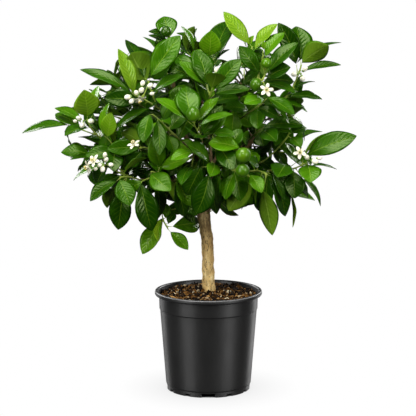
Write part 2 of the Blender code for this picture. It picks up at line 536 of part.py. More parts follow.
class Body:
    """A closed skin of triangles from which stalks, leaves and petals are raised, each out of a face of its own."""

    def __init__(self, points, faces):
        self.points = [np.array(p, float) for p in points]
        self.faces = [tuple(face) for face in faces]
        self.corners = None

    def way_out(self, root, way):
        """The face through which a line from an inner point leaves the body, and where it does."""
        if self.corners is None:
            self.corners = np.array(self.points)[np.array(self.faces)]
            edges = np.roll(self.corners, -1, axis=1) - self.corners
            self.normals = np.cross(edges[:, 0], edges[:, 1])
            # For each edge of each face, the direction that points into the face.
            self.inward = np.cross(self.normals[:, None], edges)
        slope = self.normals @ way
        drop = ((self.corners[:, 0] - root) * self.normals).sum(1)
        run = np.where(slope > 1e-9, drop / np.where(slope > 1e-9, slope, 1.0), -1.0)
        offset = root + way * run[:, None]
        within = ((offset[:, None] - self.corners) * self.inward).sum(2).min(1) >= -1e-6
        run = np.where(within & (run > 0), run, math.inf)
        index = int(np.argmin(run))
        return (index, offset[index]) if run[index] < math.inf else (None, None)

    def seat(self, index, place):
        """Where a root sits in a face, pushed away from the sides that it lies too near to, and how wide it may be."""
        corners = self.corners[index]
        runs = np.roll(corners, -1, axis=0) - corners
        lengths = np.linalg.norm(runs, axis=1)
        inward = np.cross(unit(self.normals[index]), runs / lengths[:, None])
        wanted = min(0.75 * np.linalg.norm(self.normals[index]) / lengths.sum(), ROOT_HALF * 1.3)
        for _ in range(40):
            short = wanted - ((place - corners) * inward).sum(1)
            if short.max() < 0.01:
                break
            worst = int(np.argmax(short))
            place = place + inward[worst] * short[worst]
        return place, min(ROOT_HALF, 0.8 * ((place - corners) * inward).sum(1).min())

    def open_face(self, index, place, size, ring):
        """Open a face round a place: put a small ring of points there, and return their numbers."""
        self.corners, count = None, len(ring)
        face = self.faces.pop(index)
        a, b, c = (self.points[k] for k in face)
        normal = unit(np.cross(b - a, c - a))
        across = square_to(ring[0], normal)
        other = np.cross(normal, across)
        angle = np.arange(count) * 2 * math.pi / count
        known = list(face) + list(range(len(self.points), len(self.points) + count))
        self.points += [place + size * (math.cos(t) * across + math.sin(t) * other) for t in angle]
        flat = [((self.points[k] - a) @ across, (self.points[k] - a) @ other) for k in known]
        edges = [(3 + k, 3 + (k + 1) % count) for k in range(count)]
        _, _, cells, origins, _, _ = delaunay_2d_cdt(flat, edges, [], 0, 1e-7)
        for cell in cells:
            corners = [origins[k][0] for k in cell]
            if min(corners) >= 3:
                continue
            (x1, y1), (x2, y2), (x3, y3) = (flat[k] for k in corners)
            if (x2 - x1) * (y3 - y1) < (x3 - x1) * (y2 - y1):
                corners.reverse()
            self.faces.append(tuple(known[k] for k in corners))
        return known[3:]

    def raise_from(self, root, rings, tip=None):
        """Raise a shape of rings out of the body, away from an inner point, closed flat or drawn to a tip, and
        return where it leaves the body."""
        aim = np.mean(rings[0], axis=0)
        index, place = self.way_out(root, unit(aim - root))
        place, size = self.seat(index, place)
        last = self.open_face(index, place, size, rings[0] - aim)
        count = len(last)
        for ring in rings:
            start = len(self.points)
            self.points += [np.array(p, float) for p in ring]
            for k in range(count):
                n = (k + 1) % count
                self.faces += [(last[k], last[n], start + n), (last[k], start + n, start + k)]
            last = list(range(start, start + count))
        if tip is None:
            self.faces += [(last[0], last[k], last[k + 1]) for k in range(1, count - 1)]
        else:
            self.points.append(np.array(tip, float))
            self.faces += [(last[k], last[(k + 1) % count], len(self.points) - 1) for k in range(count)]
        return place

    def raise_leaf(self, leaf, stations):
        return self.raise_from(leaf["root"], [foot_ring(leaf), *leaf_rings(leaf, stations)], leaf["tip"])

    def well_seated(self, path):
        """A path with its first point moved up or down a little until the rod leaves through a roomy face."""
        for shift in (0.0, 1.5, -1.5, 3.0, -3.0, 4.5, -4.5):
            moved = np.array([path[0] + UP * shift, *path[1:]])
            index, place = self.way_out(moved[0], unit(moved[1] - moved[0]))
            if index is not None and self.seat(index, place)[1] > 0.9 * ROOT_HALF:
                return moved
        return path

    def raise_rod(self, path, radii, sides):
        """Raise a round-ish rod along a path whose first point lies inside the body, with a ring just outside it."""
        reach = np.linalg.norm(path[1] - path[0])
        way = (path[1] - path[0]) / reach
        index, place = self.way_out(path[0], way)
        square = min(1.0, way @ unit(self.normals[index]))
        beyond = radii[0] * math.sqrt(1 - square**2) / square + 0.5
        first = min(np.linalg.norm(place - path[0]) + beyond, 0.85 * reach)
        points = tube([path[0], path[0] + way * first, *path[1:]], [radii[0], *radii], sides)[0]
        self.raise_from(path[0], [points[k : k + sides] for k in range(sides, len(points), sides)])


class Grove:
    """What has been placed so far, so that a new blade can be set clear of it."""

    def __init__(self):
        self.trees, self.centres, self.reaches, self.owners = [], [], [], []

    def add(self, points, faces, owner):
        points = np.asarray(points, float)
        middle = (points.min(0) + points.max(0)) / 2
        self.trees.append(BVHTree.FromPolygons(points.tolist(), faces))
        self.centres.append(middle)
        self.reaches.append(np.linalg.norm(points - middle, axis=1).max())
        self.owners.append(owner)

    def hits(self, points, faces, skip=None):
        """How many placed solids this one crosses, leaving out those of one owner."""
        points = np.asarray(points, float)
        middle = (points.min(0) + points.max(0)) / 2
        reach = np.linalg.norm(points - middle, axis=1).max()
        near = np.linalg.norm(np.array(self.centres) - middle, axis=1) < np.array(self.reaches) + reach
        tree = BVHTree.FromPolygons(points.tolist(), faces)
        return sum(
            1 for i in np.flatnonzero(near) if self.owners[i] != skip and tree.overlap(self.trees[i])
        )


def crossings(grove, leaf, body, stations):
    """Whether a leaf would cross what is already placed, with its blade or with the free part of its stalk."""
    index, place = body.way_out(leaf["root"], unit(np.mean(foot_ring(leaf), axis=0) - leaf["root"]))
    if index is None:
        return True
    place, size = body.seat(index, place)
    stalk = leaf["foot"] - place
    free = np.linalg.norm(stalk)
    way = stalk / free
    if size < LEAST_ROOT or free < 2.0 or np.linalg.norm(place - leaf["root"]) > 5.0:
        return True
    if way @ unit(leaf["tip"] - leaf["foot"]) < 0.2 or way @ unit(body.normals[index]) < 0.3:
        return True
    stalk = tube([place + way * 1.2, leaf["foot"]], PETIOLE_HALF + 0.4, 3)
    return any(grove.hits(*solid) for solid in (
        stalk, blade_of(leaf, stations, CLEAR), blade_of(leaf, stations)))


# How a blade read from the eye may give way to its neighbours: tip and foot moved in depth, the face turned, and the
# whole of it made smaller.
GIVES = [
    (tip, foot, turn, shrink)
    for shrink in (1.0, 0.86)
    for tip in (0, -10, 10, -20, 20, -32, 32, -45, 45)
    for foot in (0, -5, 5)
    for turn in (0, 14, -14, 28, -28)
]


def read_leaf(grove, spec, nodes, body, stations):
    """A leaf read from the eye: it takes a free place up the stem, seen near to its foot, and gives way in depth
    until it is clear, or is None."""
    foot_x, foot_z, tip_x, tip_z, behind, width, turn = spec
    order = np.argsort([np.hypot(*(front_of(node[0]) - (foot_x, foot_z))) for node in nodes])
    for choice in order[:6]:
        root, stem_way, at_end = nodes[choice]
        for tip_give, foot_give, turn_give, shrink in GIVES:
            foot = seen(foot_x, foot_z, root[1] + foot_give)
            reach, way = np.linalg.norm(foot - root), unit(foot - root)
            # A leaf leaves the side of its stem at a fair angle, except at the stem's end.
            if not at_end and abs(way @ stem_way) > 0.7:
                way = unit(way @ stem_way * stem_way + square_to(way, stem_way))
            blade_way = unit(seen(tip_x, tip_z, foot[1] + behind + tip_give) - foot)
            if way @ blade_way < 0.35:
                way = 0.37 * blade_way + 0.93 * square_to(way, blade_way)
            foot = root + way * max(reach, SHORT_STALK)
            tip = foot + (seen(tip_x, tip_z, foot[1] + behind + tip_give) - foot) * shrink
            leaf = leaf_of(root, foot, tip, faced(foot, tip, turn + turn_give), width * shrink)
            if not crossings(grove, leaf, body, stations):
                nodes.pop(choice)
                return leaf
    return None


def inside(outline, x, z):
    """Whether (x, z) lies inside a closed outline, by counting crossings of a level line."""
    x1, z1 = outline.T
    x2, z2 = np.roll(outline, -1, axis=0).T
    spans = (z1 > z) != (z2 > z)
    run = np.where(spans, z2 - z1, 1.0)
    return int((spans & (x < x1 + (z - z1) * (x2 - x1) / run)).sum()) % 2 == 1


def shows_well(leaf):
    """Whether a leaf grown by rule keeps inside the crown's outline and off its gaps."""
    for v in (0.35, 0.7, 1.0):
        x, z = front_of(rib(leaf, v))
        if not inside(OUTLINE, x, z):
            return False
        if any(math.hypot(x - a, z - b) < r + 9 * (v < 1) for a, b, r in WINDOWS):
            return False
    return True


def grown_leaf(grove, draw, root, way, face, length, width, body):
    """A leaf grown by rule from a stem, turned about until it is clear and in place, or None."""
    for attempt in range(70):
        loose = 0.1 + 0.011 * attempt
        along = unit(way + draw.normal(0, loose, 3))
        normal = unit(face + draw.normal(0, 0.1 + loose * 0.6, 3))
        if abs(normal @ along) > 0.94:
            continue
        foot = root + along * 5.5
        leaf = leaf_of(root, foot, foot + along * length * (1 - 0.003 * attempt), normal, width)
        if shows_well(leaf) and not crossings(grove, leaf, body, RULE_STATIONS):
            return leaf
    return None


def rule_ways():
    """Directions spread evenly round the crown by the golden angle, leaving out the front and the trunk's foot."""
    index = np.arange(SPIRAL_POINTS) + 0.5
    height = 1 - 1.66 * index / SPIRAL_POINTS
    flat = np.sqrt(1 - height**2)
    ways = np.stack([flat * np.cos(index * GOLDEN_ANGLE), flat * np.sin(index * GOLDEN_ANGLE), height], 1)
    return ways[ways[:, 1] > FRONT_LIMIT]


def rule_stems(index, way, draw, limbs, grove):
    """The branchlet and two stems of a shoot of the back or side, tried until they are clear of what stands there."""
    for attempt in range(60):
        way = unit(way + draw.normal(0, 0.006 * attempt, 3))
        tip = CROWN_CENTRE + CROWN_RADII * way * draw.uniform(0.84, 0.94)
        start = CROWN_CENTRE + CROWN_RADII * way * draw.uniform(0.42, 0.55 + 0.004 * attempt) + UP * -10
        middle = (start + tip) / 2 + UP * -7
        side = unit(np.cross(way, UP) * (1 if index % 2 else -1) + way * 0.7 + UP * draw.uniform(-0.3, 0.7))
        fork = start + (middle - start) * 0.7
        paths = [np.array([start, middle, tip]), np.array([fork, fork + side * 34, fork + side * 64 + UP * 5])]
        twig = branchlet(limbs, start, middle - start, grove)
        paths[0][0] += unit(twig[2] - twig[1]) * GAP
        rods = stem_tubes(paths, unit(twig[2] - twig[1]), 1.0)
        if not sum(grove.hits(*rod) for rod in rods) and not grove.hits(*twig_tube(twig), skip="wood"):
            break
    return twig, paths


def stem_places(path, count, draw):
    """Places up a stem for its leaves: point, the stem's direction there, and the way out by the golden angle."""
    tangents, across = frames(path)
    start = draw.uniform(0, 2 * math.pi)
    shares = np.linspace(0.3, 0.97, count) * (len(path) - 1)
    for k, share in enumerate(shares):
        i = min(int(share), len(path) - 2)
        point = path[i] + (path[i + 1] - path[i]) * (share - i)
        tangent = unit(path[i + 1] - path[i])
        first = square_to(across[i], tangent)
        yield point, tangent, turned(first, tangent, start + k * GOLDEN_ANGLE), k == count - 1


def turned(v, axis, angle):
    """v turned about a unit axis."""
    return v * math.cos(angle) + np.cross(axis, v) * math.sin(angle) + axis * (axis @ v) * (1 - math.cos(angle))


def stem_tubes(paths, end_way, extra=0.0):
    """The rods of a shoot's stems: the first sets out square to its branchlet's end, and the rest fork from it."""
    rods = []
    for i, path in enumerate(paths):
        radii = np.linspace(STEM_FOOT_RADIUS, STEM_TIP_RADIUS, len(path)) * (1.0 if i == 0 else 0.9)
        rods.append(tube(path, radii + extra, STEM_SIDES, end_way if i == 0 else None))
    return rods


def branchlet(limbs, start, onward, grove):
    """A brown branchlet from a limb near below to a shoot's start, bent to end near the way the shoot goes on, and
    clear of the other wood where it can be."""
    reach = np.linalg.norm(nearest_of(limbs, start) - start)
    paths = []
    for drop in (0.5, 0.35, 0.65, 0.2, 0.8, 0.0, 1.0):
        origin = nearest_of(limbs, start - UP * drop * reach)
        chord = start - origin
        end_way = unit(unit(chord) + 0.9 * unit(onward))
        path = np.array([origin, start - end_way * 0.4 * np.linalg.norm(chord), start])
        paths.append(path)
        out = path[0] + unit(path[1] - path[0]) * min(12.0, 0.6 * np.linalg.norm(path[1] - path[0]))
        if not grove.hits(*tube([out, path[1], path[2]], TWIG_RADII, TWIG_SIDES)):
            return path
    return paths[0]


def cluster_body(paths, buds, flowers):
    """A flower cluster: the way its shoot's peg goes, the cluster's body, and rough solids that stand for it."""
    centres = [seen(*bud[:3]) for bud in buds] + [seen(*centre) for centre, _ in flowers]
    middle = np.mean(centres, axis=0)
    root = nearest_of(paths, middle)
    reach = np.linalg.norm(middle - root)
    way = unit(middle - root)
    peg_end = root + way * max(4.5, min(0.4 * reach, reach - 9.0))
    hub = peg_end + way * (GAP + 1.4 + HUB_RADIUS)
    body = Body(*ball(hub, HUB_RADIUS, way, 1.0, 6, 4))
    body.raise_rod([hub, peg_end + way * GAP], [PEG_RADIUS] * 2, PEG_SIDES)
    rough = [ball(hub, HUB_RADIUS + 1.0, way, 1.0, 6, 4)]
    for centre, bud in zip(centres, buds):
        out = unit(centre - hub)
        half = bud[3] * 1.12
        reach = max(np.linalg.norm(centre - hub), HUB_RADIUS + half + 1.2)
        centre = hub + out * reach
        ends = [hub + out * (reach - half), centre + out * half * 0.15]
        points = tube(ends, [PEDICEL_RADIUS * 1.4, bud[3] * 1.05], 5)[0]
        body.raise_from(hub, [points[0:5], points[5:10]], centre + out * half * 1.15)
        rough += [ball(centre, bud[3], out, 1.2, 5, 3), tube([hub, centre], PEDICEL_RADIUS, 3)]
    for centre, (_, faces_way) in zip(centres[len(buds):], flowers):
        axis, out = unit(np.array(faces_way, float)), unit(centre - hub)
        base, top = centre - axis * 2.0, centre + axis * 1.6
        points = tube([base, top], [1.8, 2.7], 5, unit(axis + out))[0]
        body.raise_from(hub, [points[0:5], points[5:10]], centre + axis * 5.5)
        rough += [tube([centre - axis * 2, centre + axis * 5], PETAL_LENGTH * 0.9, 8), tube([hub, centre], 1.0, 3)]
        first = square_to(points[5] - top, axis)
        for k in range(5):
            along = unit(turned(first, axis, 2 * math.pi * (k + 0.5) / 5) * 0.9 + axis * 0.3)
            petal = leaf_of(centre, centre, centre + along * PETAL_LENGTH, axis, PETAL_WIDTH)
            body.raise_from(centre - axis * 0.3, leaf_rings(petal, (0.58,)), petal["tip"])
    return [root, peg_end], body, rough


def twig_tube(twig):
    return tube(twig, TWIG_RADII, TWIG_SIDES)


def fruit_and_stalk(name, paths):
    """A fruit, and the path and radii of the stalk and calyx that hold it to its shoot."""
    place, radius, stalk_way, _ = FRUITS[name]
    centre, way = seen(*place), unit(np.array(stalk_way))
    stretch, point = (1.12, 0.06) if name == "fruit_centre" else (0.96, 0.0)
    end = centre + way * (radius * stretch + GAP)
    root = nearest_of(paths, end + way * 8)
    path = [root, end + way * 2.2, end + way * 1.3, end]
    return path, [STALK_RADIUS] * 2 + [CALYX_RADIUS] * 2, ball(centre, radius, -way, stretch, 9, 6, point)


def grow():
    """The whole tree above the pot: solids of wood, shoots, fruit and flowers, each blade clear of the rest."""
    draw = np.random.default_rng(SEED)
    grove = Grove()
    rods = {"trunk": TRUNK, **LIMBS}
    rods = {name: np.array(points, float) for name, points in rods.items()}
    limbs = [rod[:, :3] for rod in rods.values()]
    sides = {"trunk": TRUNK_SIDES}
    wood = [tube(rod[:, :3], rod[:, 3], sides.get(name, LIMB_SIDES)) for name, rod in rods.items()]
    for piece in wood:
        grove.add(*piece, "wood")
    twigs, stems, bodies, fruits, clusters = [], {}, {}, {}, {}

    def raise_shoot(name, twig, paths):
        twigs.append(twig)
        grove.add(*twig_tube(twig), "wood")
        stems[name] = paths
        rods = stem_tubes(paths, unit(twig[2] - twig[1]))
        bodies[name] = Body(*rods[0])
        for path in paths[1:]:
            radii = np.linspace(STEM_FOOT_RADIUS, STEM_TIP_RADIUS, len(path)) * 0.9
            bodies[name].raise_rod(path, radii, STEM_SIDES)
        for rod in rods:
            grove.add(*rod, name)

    for name, (paths, _) in SHOOTS.items():
        paths = [np.array([seen(*p) for p in path]) for path in paths]
        for path in paths[1:]:
            path[0] = nearest_on(paths[0], path[0])
        twig = branchlet(limbs, paths[0][0], paths[0][1] - paths[0][0], grove)
        paths[0][0] += unit(twig[2] - twig[1]) * GAP
        raise_shoot(name, twig, paths)
    for name in FRUITS:
        shoot = FRUITS[name][3]
        path, radii, fruits[name] = fruit_and_stalk(name, stems[shoot])
        bodies[shoot].raise_rod(path, radii, STALK_SIDES)
        grove.add(*fruits[name], name)
        grove.add(*tube(path, radii, STALK_SIDES), shoot)
    for name, (shoot, buds, flowers) in CLUSTERS.items():
        peg, clusters[name], rough = cluster_body(stems[shoot], buds, flowers)
        bodies[shoot].raise_rod(peg, [PEG_RADIUS] * 2, PEG_SIDES)
        grove.add(*tube(peg, PEG_RADIUS, PEG_SIDES), shoot)
        for piece in rough:
            grove.add(*piece, name)
    for index, way in enumerate(rule_ways()):
        name = f"shoot_rule_{index + 1:02d}"
        raise_shoot(name, *rule_stems(index, way, draw, limbs, grove))
    leaves, free, dropped = {name: [] for name in stems}, {}, []

    def keep(name, leaf, stations):
        if leaf is None:
            dropped.append(name)
            return
        leaves[name].append(leaf)
        place = bodies[name].raise_leaf(leaf, stations)
        grove.add(*blade_of(leaf, stations), name)
        grove.add(*tube([place, leaf["foot"]], PETIOLE_HALF, 3), name)

    for name, (_, specs) in SHOOTS.items():
        free[name] = stem_nodes(stems[name], len(specs))
        stations = RULE_STATIONS if name.startswith("inner") else READ_STATIONS
        for spec in specs:
            keep(name, read_leaf(grove, spec, free[name], bodies[name], stations), stations)
    for name, nodes in free.items():
        count = FRONT_FILLERS if name in SHOOTS else BACK_FILLERS
        for root in (nodes[k][0] for k in draw.permutation(len(nodes))[:count]):
            outward = unit((root - CROWN_CENTRE) / CROWN_RADII)
            way = unit(outward * 0.6 + draw.normal(0, 0.5, 3) + BACK * 0.7)
            face = unit(UP * 0.6 + outward * 0.5 - BACK * 0.5)
            length, width = draw.uniform(54, 70), draw.uniform(27, 35)
            keep(name, grown_leaf(grove, draw, root, way, face, length, width, bodies[name]), RULE_STATIONS)
    for name in (name for name in stems if name not in SHOOTS):
        for path, count in zip(stems[name], RULE_STEM_LEAVES):
            for root, tangent, out, last in stem_places(path, count, draw):
                way = tangent if last else unit(tangent * 0.6 + out * 0.75 - UP * 0.1)
                face = unit(UP * 0.8 + tangent * 0.5 - np.array([0.0, 0.1, 0.0]))
                length, width = draw.uniform(56, 76), draw.uniform(27, 36)
                leaf = grown_leaf(grove, draw, root, way, face, length, width, bodies[name])
                keep(name, leaf, RULE_STATIONS)
    return {"wood": wood, "twigs": twigs, "shoots": bodies, "fruits": fruits, "clusters": clusters,
            "leaves": leaves, "dropped": dropped}


def pot_solid():
    """The pot as a turned shell: foot, shoulder, rolled lip and the inner wall and floor."""
    profile = [
        (0, 0), (FOOT_RADIUS - FOOT_STEP, 0), (FOOT_RADIUS - FOOT_STEP + 0.4, FOOT_Z - 1),
        (FOOT_RADIUS, FOOT_Z + 0.5), (SHOULDER_RADIUS, SHOULDER_Z - 0.8),
        (SHOULDER_RADIUS + SHOULDER_STEP, SHOULDER_Z + 0.6), (NECK_RADIUS + 0.3, POT_HEIGHT - RIM_DROP + 0.6),
        (RIM_RADIUS - 1.2, POT_HEIGHT - RIM_DROP), (RIM_RADIUS, POT_HEIGHT - RIM_DROP + 2.6),
        (RIM_RADIUS - 0.4, POT_HEIGHT - 2.4), (RIM_RADIUS - 2.6, POT_HEIGHT),
        (RIM_RADIUS - LIP_WIDTH, POT_HEIGHT - 0.5), (NECK_RADIUS - WALL + 0.6, POT_HEIGHT - RIM_DROP),
        (SHOULDER_RADIUS - WALL, SHOULDER_Z - 0.8), (FOOT_RADIUS - WALL, FOOT_Z + 0.5),
        (FOOT_RADIUS - WALL - FOOT_STEP, BASE_THICKNESS), (0, BASE_THICKNESS),
    ]
    return spun(profile, POT_SIDES)


def soil_solid():
    """The compost: it fills the pot a little clear of the wall, with a lumpy top and a plain hole for the trunk."""
    draw = np.random.default_rng(SEED)
    hole = np.array(TRUNK[0][:2], float)
    trunk_radius, hole_z = TRUNK[0][3] + 2 * GAP, TRUNK[0][2] - GAP + LIFT
    # Radius, height and how far towards the trunk's own axis each ring is set.
    rings = [
        (0.0, BASE_THICKNESS + GAP, 0.0), (FOOT_RADIUS - WALL - FOOT_STEP - 0.7, BASE_THICKNESS + GAP, 0.0),
        (SHOULDER_RADIUS - WALL - 0.4, SHOULDER_Z - 0.8, 0.0), (NECK_RADIUS - WALL - 0.4, SOIL_Z - 1, 0.0),
        (67, SOIL_Z, 0.0), (48, SOIL_Z + 1, 0.3), (30, SOIL_Z + SOIL_MOUND * 0.6, 0.6),
        (trunk_radius, SOIL_Z + SOIL_MOUND, 1.0), (trunk_radius, hole_z, 1.0), (0.0, hole_z, 1.0),
    ]
    points, faces = spun([ring[:2] for ring in rings], SOIL_SIDES)
    start = 0
    for radius, z, share in rings:
        count = SOIL_SIDES if radius else 1
        points[start : start + count, :2] += hole * share
        if 20 < radius < 80 and z > SOIL_Z - 2:
            points[start : start + count, 2] += draw.uniform(-SOIL_ROUGHNESS, SOIL_ROUGHNESS, count)
        start += count
    return points, faces


def mesh_object(name, points, faces):
    """An object of a triangle mesh, made from points in millimetres."""
    mesh = bpy.data.meshes.new(name)
    mesh.from_pydata((np.asarray(points, float) * MM).tolist(), [], [list(face) for face in faces])
    part = bpy.data.objects.new(name, mesh)
    bpy.context.scene.collection.objects.link(part)
    return part


def paint(part, colour, roughness):
    """Give a piece a material of its own: its base colour and how rough it is."""
    material = bpy.data.materials.new(part.name)
    material.use_nodes = True
    shader = material.node_tree.nodes["Principled BSDF"]
    shader.inputs["Base Color"].default_value = (*colour, 1.0)
    shader.inputs["Roughness"].default_value = roughness
    part.data.materials.clear()
    part.data.materials.append(material)


def combine(part, others, operation, solver):
    """Join other solids to a piece, or cut them from it, and keep the result as its plain mesh."""
    group = bpy.data.collections.new(part.name + " helpers")
    bpy.context.scene.collection.children.link(group)
    for i, (points, faces) in enumerate(others):
        other = mesh_object(f"{part.name} helper {i}", points, faces)
        bpy.context.scene.collection.objects.unlink(other)
        group.objects.link(other)
        other.hide_render = True
        other.display_type = "WIRE"
    change = part.modifiers.new("combine", "BOOLEAN")
    change.operation = operation
    change.operand_type = "COLLECTION"
    change.collection = group
    change.solver = solver
    bpy.context.view_layer.update()
    result = bpy.data.meshes.new_from_object(part.evaluated_get(bpy.context.evaluated_depsgraph_get()))
    part.modifiers.clear()
    old, part.data = part.data, result
    result.name = part.name
    bpy.data.meshes.remove(old)
    for other in list(group.objects):
        bpy.data.objects.remove(other)
    bpy.data.collections.remove(group)


def grown_object(name, body, colour, roughness):
    """A piece of the tree, lifted to where it stands."""
    part = mesh_object(name, np.asarray(body.points, float) + UP * LIFT, body.faces)
    paint(part, colour, roughness)
    return part


def box_ring(count, turn, radius, width, height):
    """Boxes standing round the upright axis, from below the ground up to a height: cutters for the pot's foot."""
    boxes = []
    for k in range(count):
        a = -math.pi / 2 + turn + k * 2 * math.pi / count
        out, side = np.array([math.cos(a), math.sin(a), 0]), np.array([-math.sin(a), math.cos(a), 0])
        low = [out * (radius + i) + side * j * width / 2 for i, j in ((-6, -1), (14, -1), (14, 1), (-6, 1))]
        points = [p + UP * -2 for p in low] + [p + UP * height for p in low]
        sides = [(i, (i + 1) % 4, (i + 1) % 4 + 4, i + 4) for i in range(4)]
        boxes.append((np.array(points), [(3, 2, 1, 0), (4, 5, 6, 7), *sides]))
    return boxes


for left_over in list(bpy.data.objects):
    bpy.data.objects.remove(left_over)

tree = grow()

pot = mesh_object("pot", *pot_solid())
slots = box_ring(DRAIN_COUNT, 0, FOOT_RADIUS - FOOT_STEP, DRAIN_WIDTH, DRAIN_HEIGHT)
notches = [
    box for turn in (-NOTCH_TURN, NOTCH_TURN)
    for box in box_ring(DRAIN_COUNT, turn, FOOT_RADIUS - FOOT_STEP + 1, NOTCH_WIDTH, NOTCH_HEIGHT)]
combine(pot, slots + notches, "DIFFERENCE", "MANIFOLD")
paint(pot, (0.017, 0.017, 0.016), 0.42)

soil = mesh_object("soil", *soil_solid())
paint(soil, (0.05, 0.027, 0.015), 0.95)

# The limbs are joined to the trunk, and the branchlets are raised from what they make together.
limbs = mesh_object("limbs", *tree["wood"][0])
combine(limbs, tree["wood"][1:], "UNION", "EXACT")
limbs.data.calc_loop_triangles()
wood = Body(
    [np.array(v.co) / MM for v in limbs.data.vertices], [tuple(t.vertices) for t in limbs.data.loop_triangles]
)
bpy.data.objects.remove(limbs)
for twig in tree["twigs"]:
    wood.raise_rod(wood.well_seated(twig), TWIG_RADII, TWIG_SIDES)
grown_object("trunk", wood, (0.35, 0.23, 0.085), 0.8)

for name, body in tree["shoots"].items():
    grown_object(name, body, (0.065, 0.2, 0.025), 0.4)
for name, (points, faces) in tree["fruits"].items():
    grown_object(name, Body(points, faces), (0.14, 0.32, 0.01), 0.3)
for name, body in tree["clusters"].items():
    grown_object(name, body, (0.86, 0.84, 0.75), 0.55)
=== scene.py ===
"""A potted calamondin in soft studio light: a black nursery pot of bark compost, a tan trunk, glossy leaves,
green fruit and white blossom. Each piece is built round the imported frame, in metres.
"""

import json
import math

import bpy
import numpy as np
from numpy.linalg import norm
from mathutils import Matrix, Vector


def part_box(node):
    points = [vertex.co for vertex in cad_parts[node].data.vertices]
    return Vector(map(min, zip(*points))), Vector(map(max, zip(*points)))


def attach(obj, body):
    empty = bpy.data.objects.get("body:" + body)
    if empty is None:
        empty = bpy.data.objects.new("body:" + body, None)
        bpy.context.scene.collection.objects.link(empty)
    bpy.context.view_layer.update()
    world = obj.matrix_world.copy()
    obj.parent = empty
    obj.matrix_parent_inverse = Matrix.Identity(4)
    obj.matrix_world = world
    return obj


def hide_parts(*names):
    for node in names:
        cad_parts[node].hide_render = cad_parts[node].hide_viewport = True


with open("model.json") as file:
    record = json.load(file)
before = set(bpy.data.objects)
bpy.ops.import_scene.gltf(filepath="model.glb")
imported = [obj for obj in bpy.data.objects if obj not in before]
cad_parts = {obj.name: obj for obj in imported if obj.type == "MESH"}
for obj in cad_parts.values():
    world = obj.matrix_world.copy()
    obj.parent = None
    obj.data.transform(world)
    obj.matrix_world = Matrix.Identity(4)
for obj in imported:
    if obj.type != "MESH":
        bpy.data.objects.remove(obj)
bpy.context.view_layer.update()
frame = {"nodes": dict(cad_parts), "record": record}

# The stage: a camera at the photograph's height and distance, and a white floor before a white backdrop. Soft
# lights stand at the sides, behind and in front, and a large one hangs overhead.
EYE = np.array([0.0, -2.7, 0.743])
EYE_PITCH = 8.8
EYE_SHIFT = -0.0011
LENS_MM = 133.9
BACK_FILL, FRONT_FILL = 0.09, 0.008
FLOOR_SHADE = 0.84
stage = bpy.context.scene


def unit(v):
    """A vector, or each row of an array of them, made one long."""
    v = np.asarray(v, float)
    return v / (norm(v) if v.ndim == 1 else norm(v, axis=1)[:, None])


def placed(name, data):
    piece = bpy.data.objects.new(name, data)
    stage.collection.objects.link(piece)
    return piece


def soft_light(name, place, aim, width, height, power):
    """A rectangular light at a place, turned to a height on the plant's axis, in metres and watts."""
    light = bpy.data.lights.new(f"{name} light", "AREA")
    light.shape, light.size, light.size_y, light.energy = "RECTANGLE", width, height, power
    lamp = placed(f"{name} light", light)
    lamp.location = place
    way = unit((-place[0], -place[1], aim - place[2]))
    lamp.rotation_euler = (math.acos(-way[2]), 0.0, math.atan2(way[1], way[0]) - math.pi / 2)
    return lamp


class Wiring:
    """Adds nodes to a material or the world. Each method makes one node, joins its inputs and returns its
    output."""

    def __init__(self, owner):
        self.tree = owner.node_tree
        self.shader = self.tree.nodes.get("Principled BSDF") or self.tree.nodes["Background"]

    def node(self, kind, inputs=(), output=0, **settings):
        made = self.tree.nodes.new(kind)
        for key, value in settings.items():
            setattr(made, key, value)
        for key, value in dict(inputs).items():
            if isinstance(value, bpy.types.NodeSocket):
                self.tree.links.new(value, made.inputs[key])
            else:
                made.inputs[key].default_value = value
        return made.outputs[output]

    def math(self, operation, *values, clamp=False):
        return self.node("ShaderNodeMath", enumerate(values), operation=operation, use_clamp=clamp)

    def times(self, one, other):
        return self.math("MULTIPLY", one, other)

    def plus(self, one, other):
        return self.math("ADD", one, other)

    def spread(self, value, low, high, to_low=0, to_high=1):
        """A value taken smoothly from one range to another and held at its ends."""
        ranges = {0: value, 1: low, 2: high, 3: to_low, 4: to_high}
        return self.node("ShaderNodeMapRange", ranges, interpolation_type="SMOOTHSTEP")

    def place(self):
        return self.node("ShaderNodeTexCoord", output="Object")

    def noise(self, scale, detail=3, stretch=(1, 1, 1), roughness=0.5):
        place = self.node("ShaderNodeMapping", {"Vector": self.place(), "Scale": stretch})
        inputs = {"Vector": place, "Scale": scale, "Detail": detail, "Roughness": roughness}
        return self.node("ShaderNodeTexNoise", inputs)

    def attribute(self, name):
        return self.node("ShaderNodeAttribute", output="Fac", attribute_name=name)

    def ramp(self, value, stops):
        """A colour for each value, through stops of (value, colour)."""
        output = self.node("ShaderNodeValToRGB", {0: value})
        elements = output.node.color_ramp.elements
        while len(elements) < len(stops):
            elements.new(0.5)
        for element, (place, colour) in zip(elements, stops):
            element.position, element.color = place, (*colour, 1.0)
        return output

    def blend(self, share, one, other):
        """One colour with a share of another mixed in."""
        return self.node("ShaderNodeMix", {0: share, 6: one, 7: other}, output=2, data_type="RGBA")

    def bump(self, height, depth):
        self.join(self.node("ShaderNodeBump", {"Height": height, "Distance": depth}), "Normal")

    def join(self, output, socket="Base Color"):
        self.tree.links.new(output, self.shader.inputs[socket])


def finish(name, colour, roughness, **sockets):
    """A Principled material with plain values for its sockets, and the wiring for more."""
    material = bpy.data.materials.new(name)
    material.use_nodes = True
    wires = Wiring(material)
    for socket, value in {"Base Color": (*colour, 1.0), "Roughness": roughness, **sockets}.items():
        wires.shader.inputs[socket.replace("_", " ")].default_value = value
    return material, wires


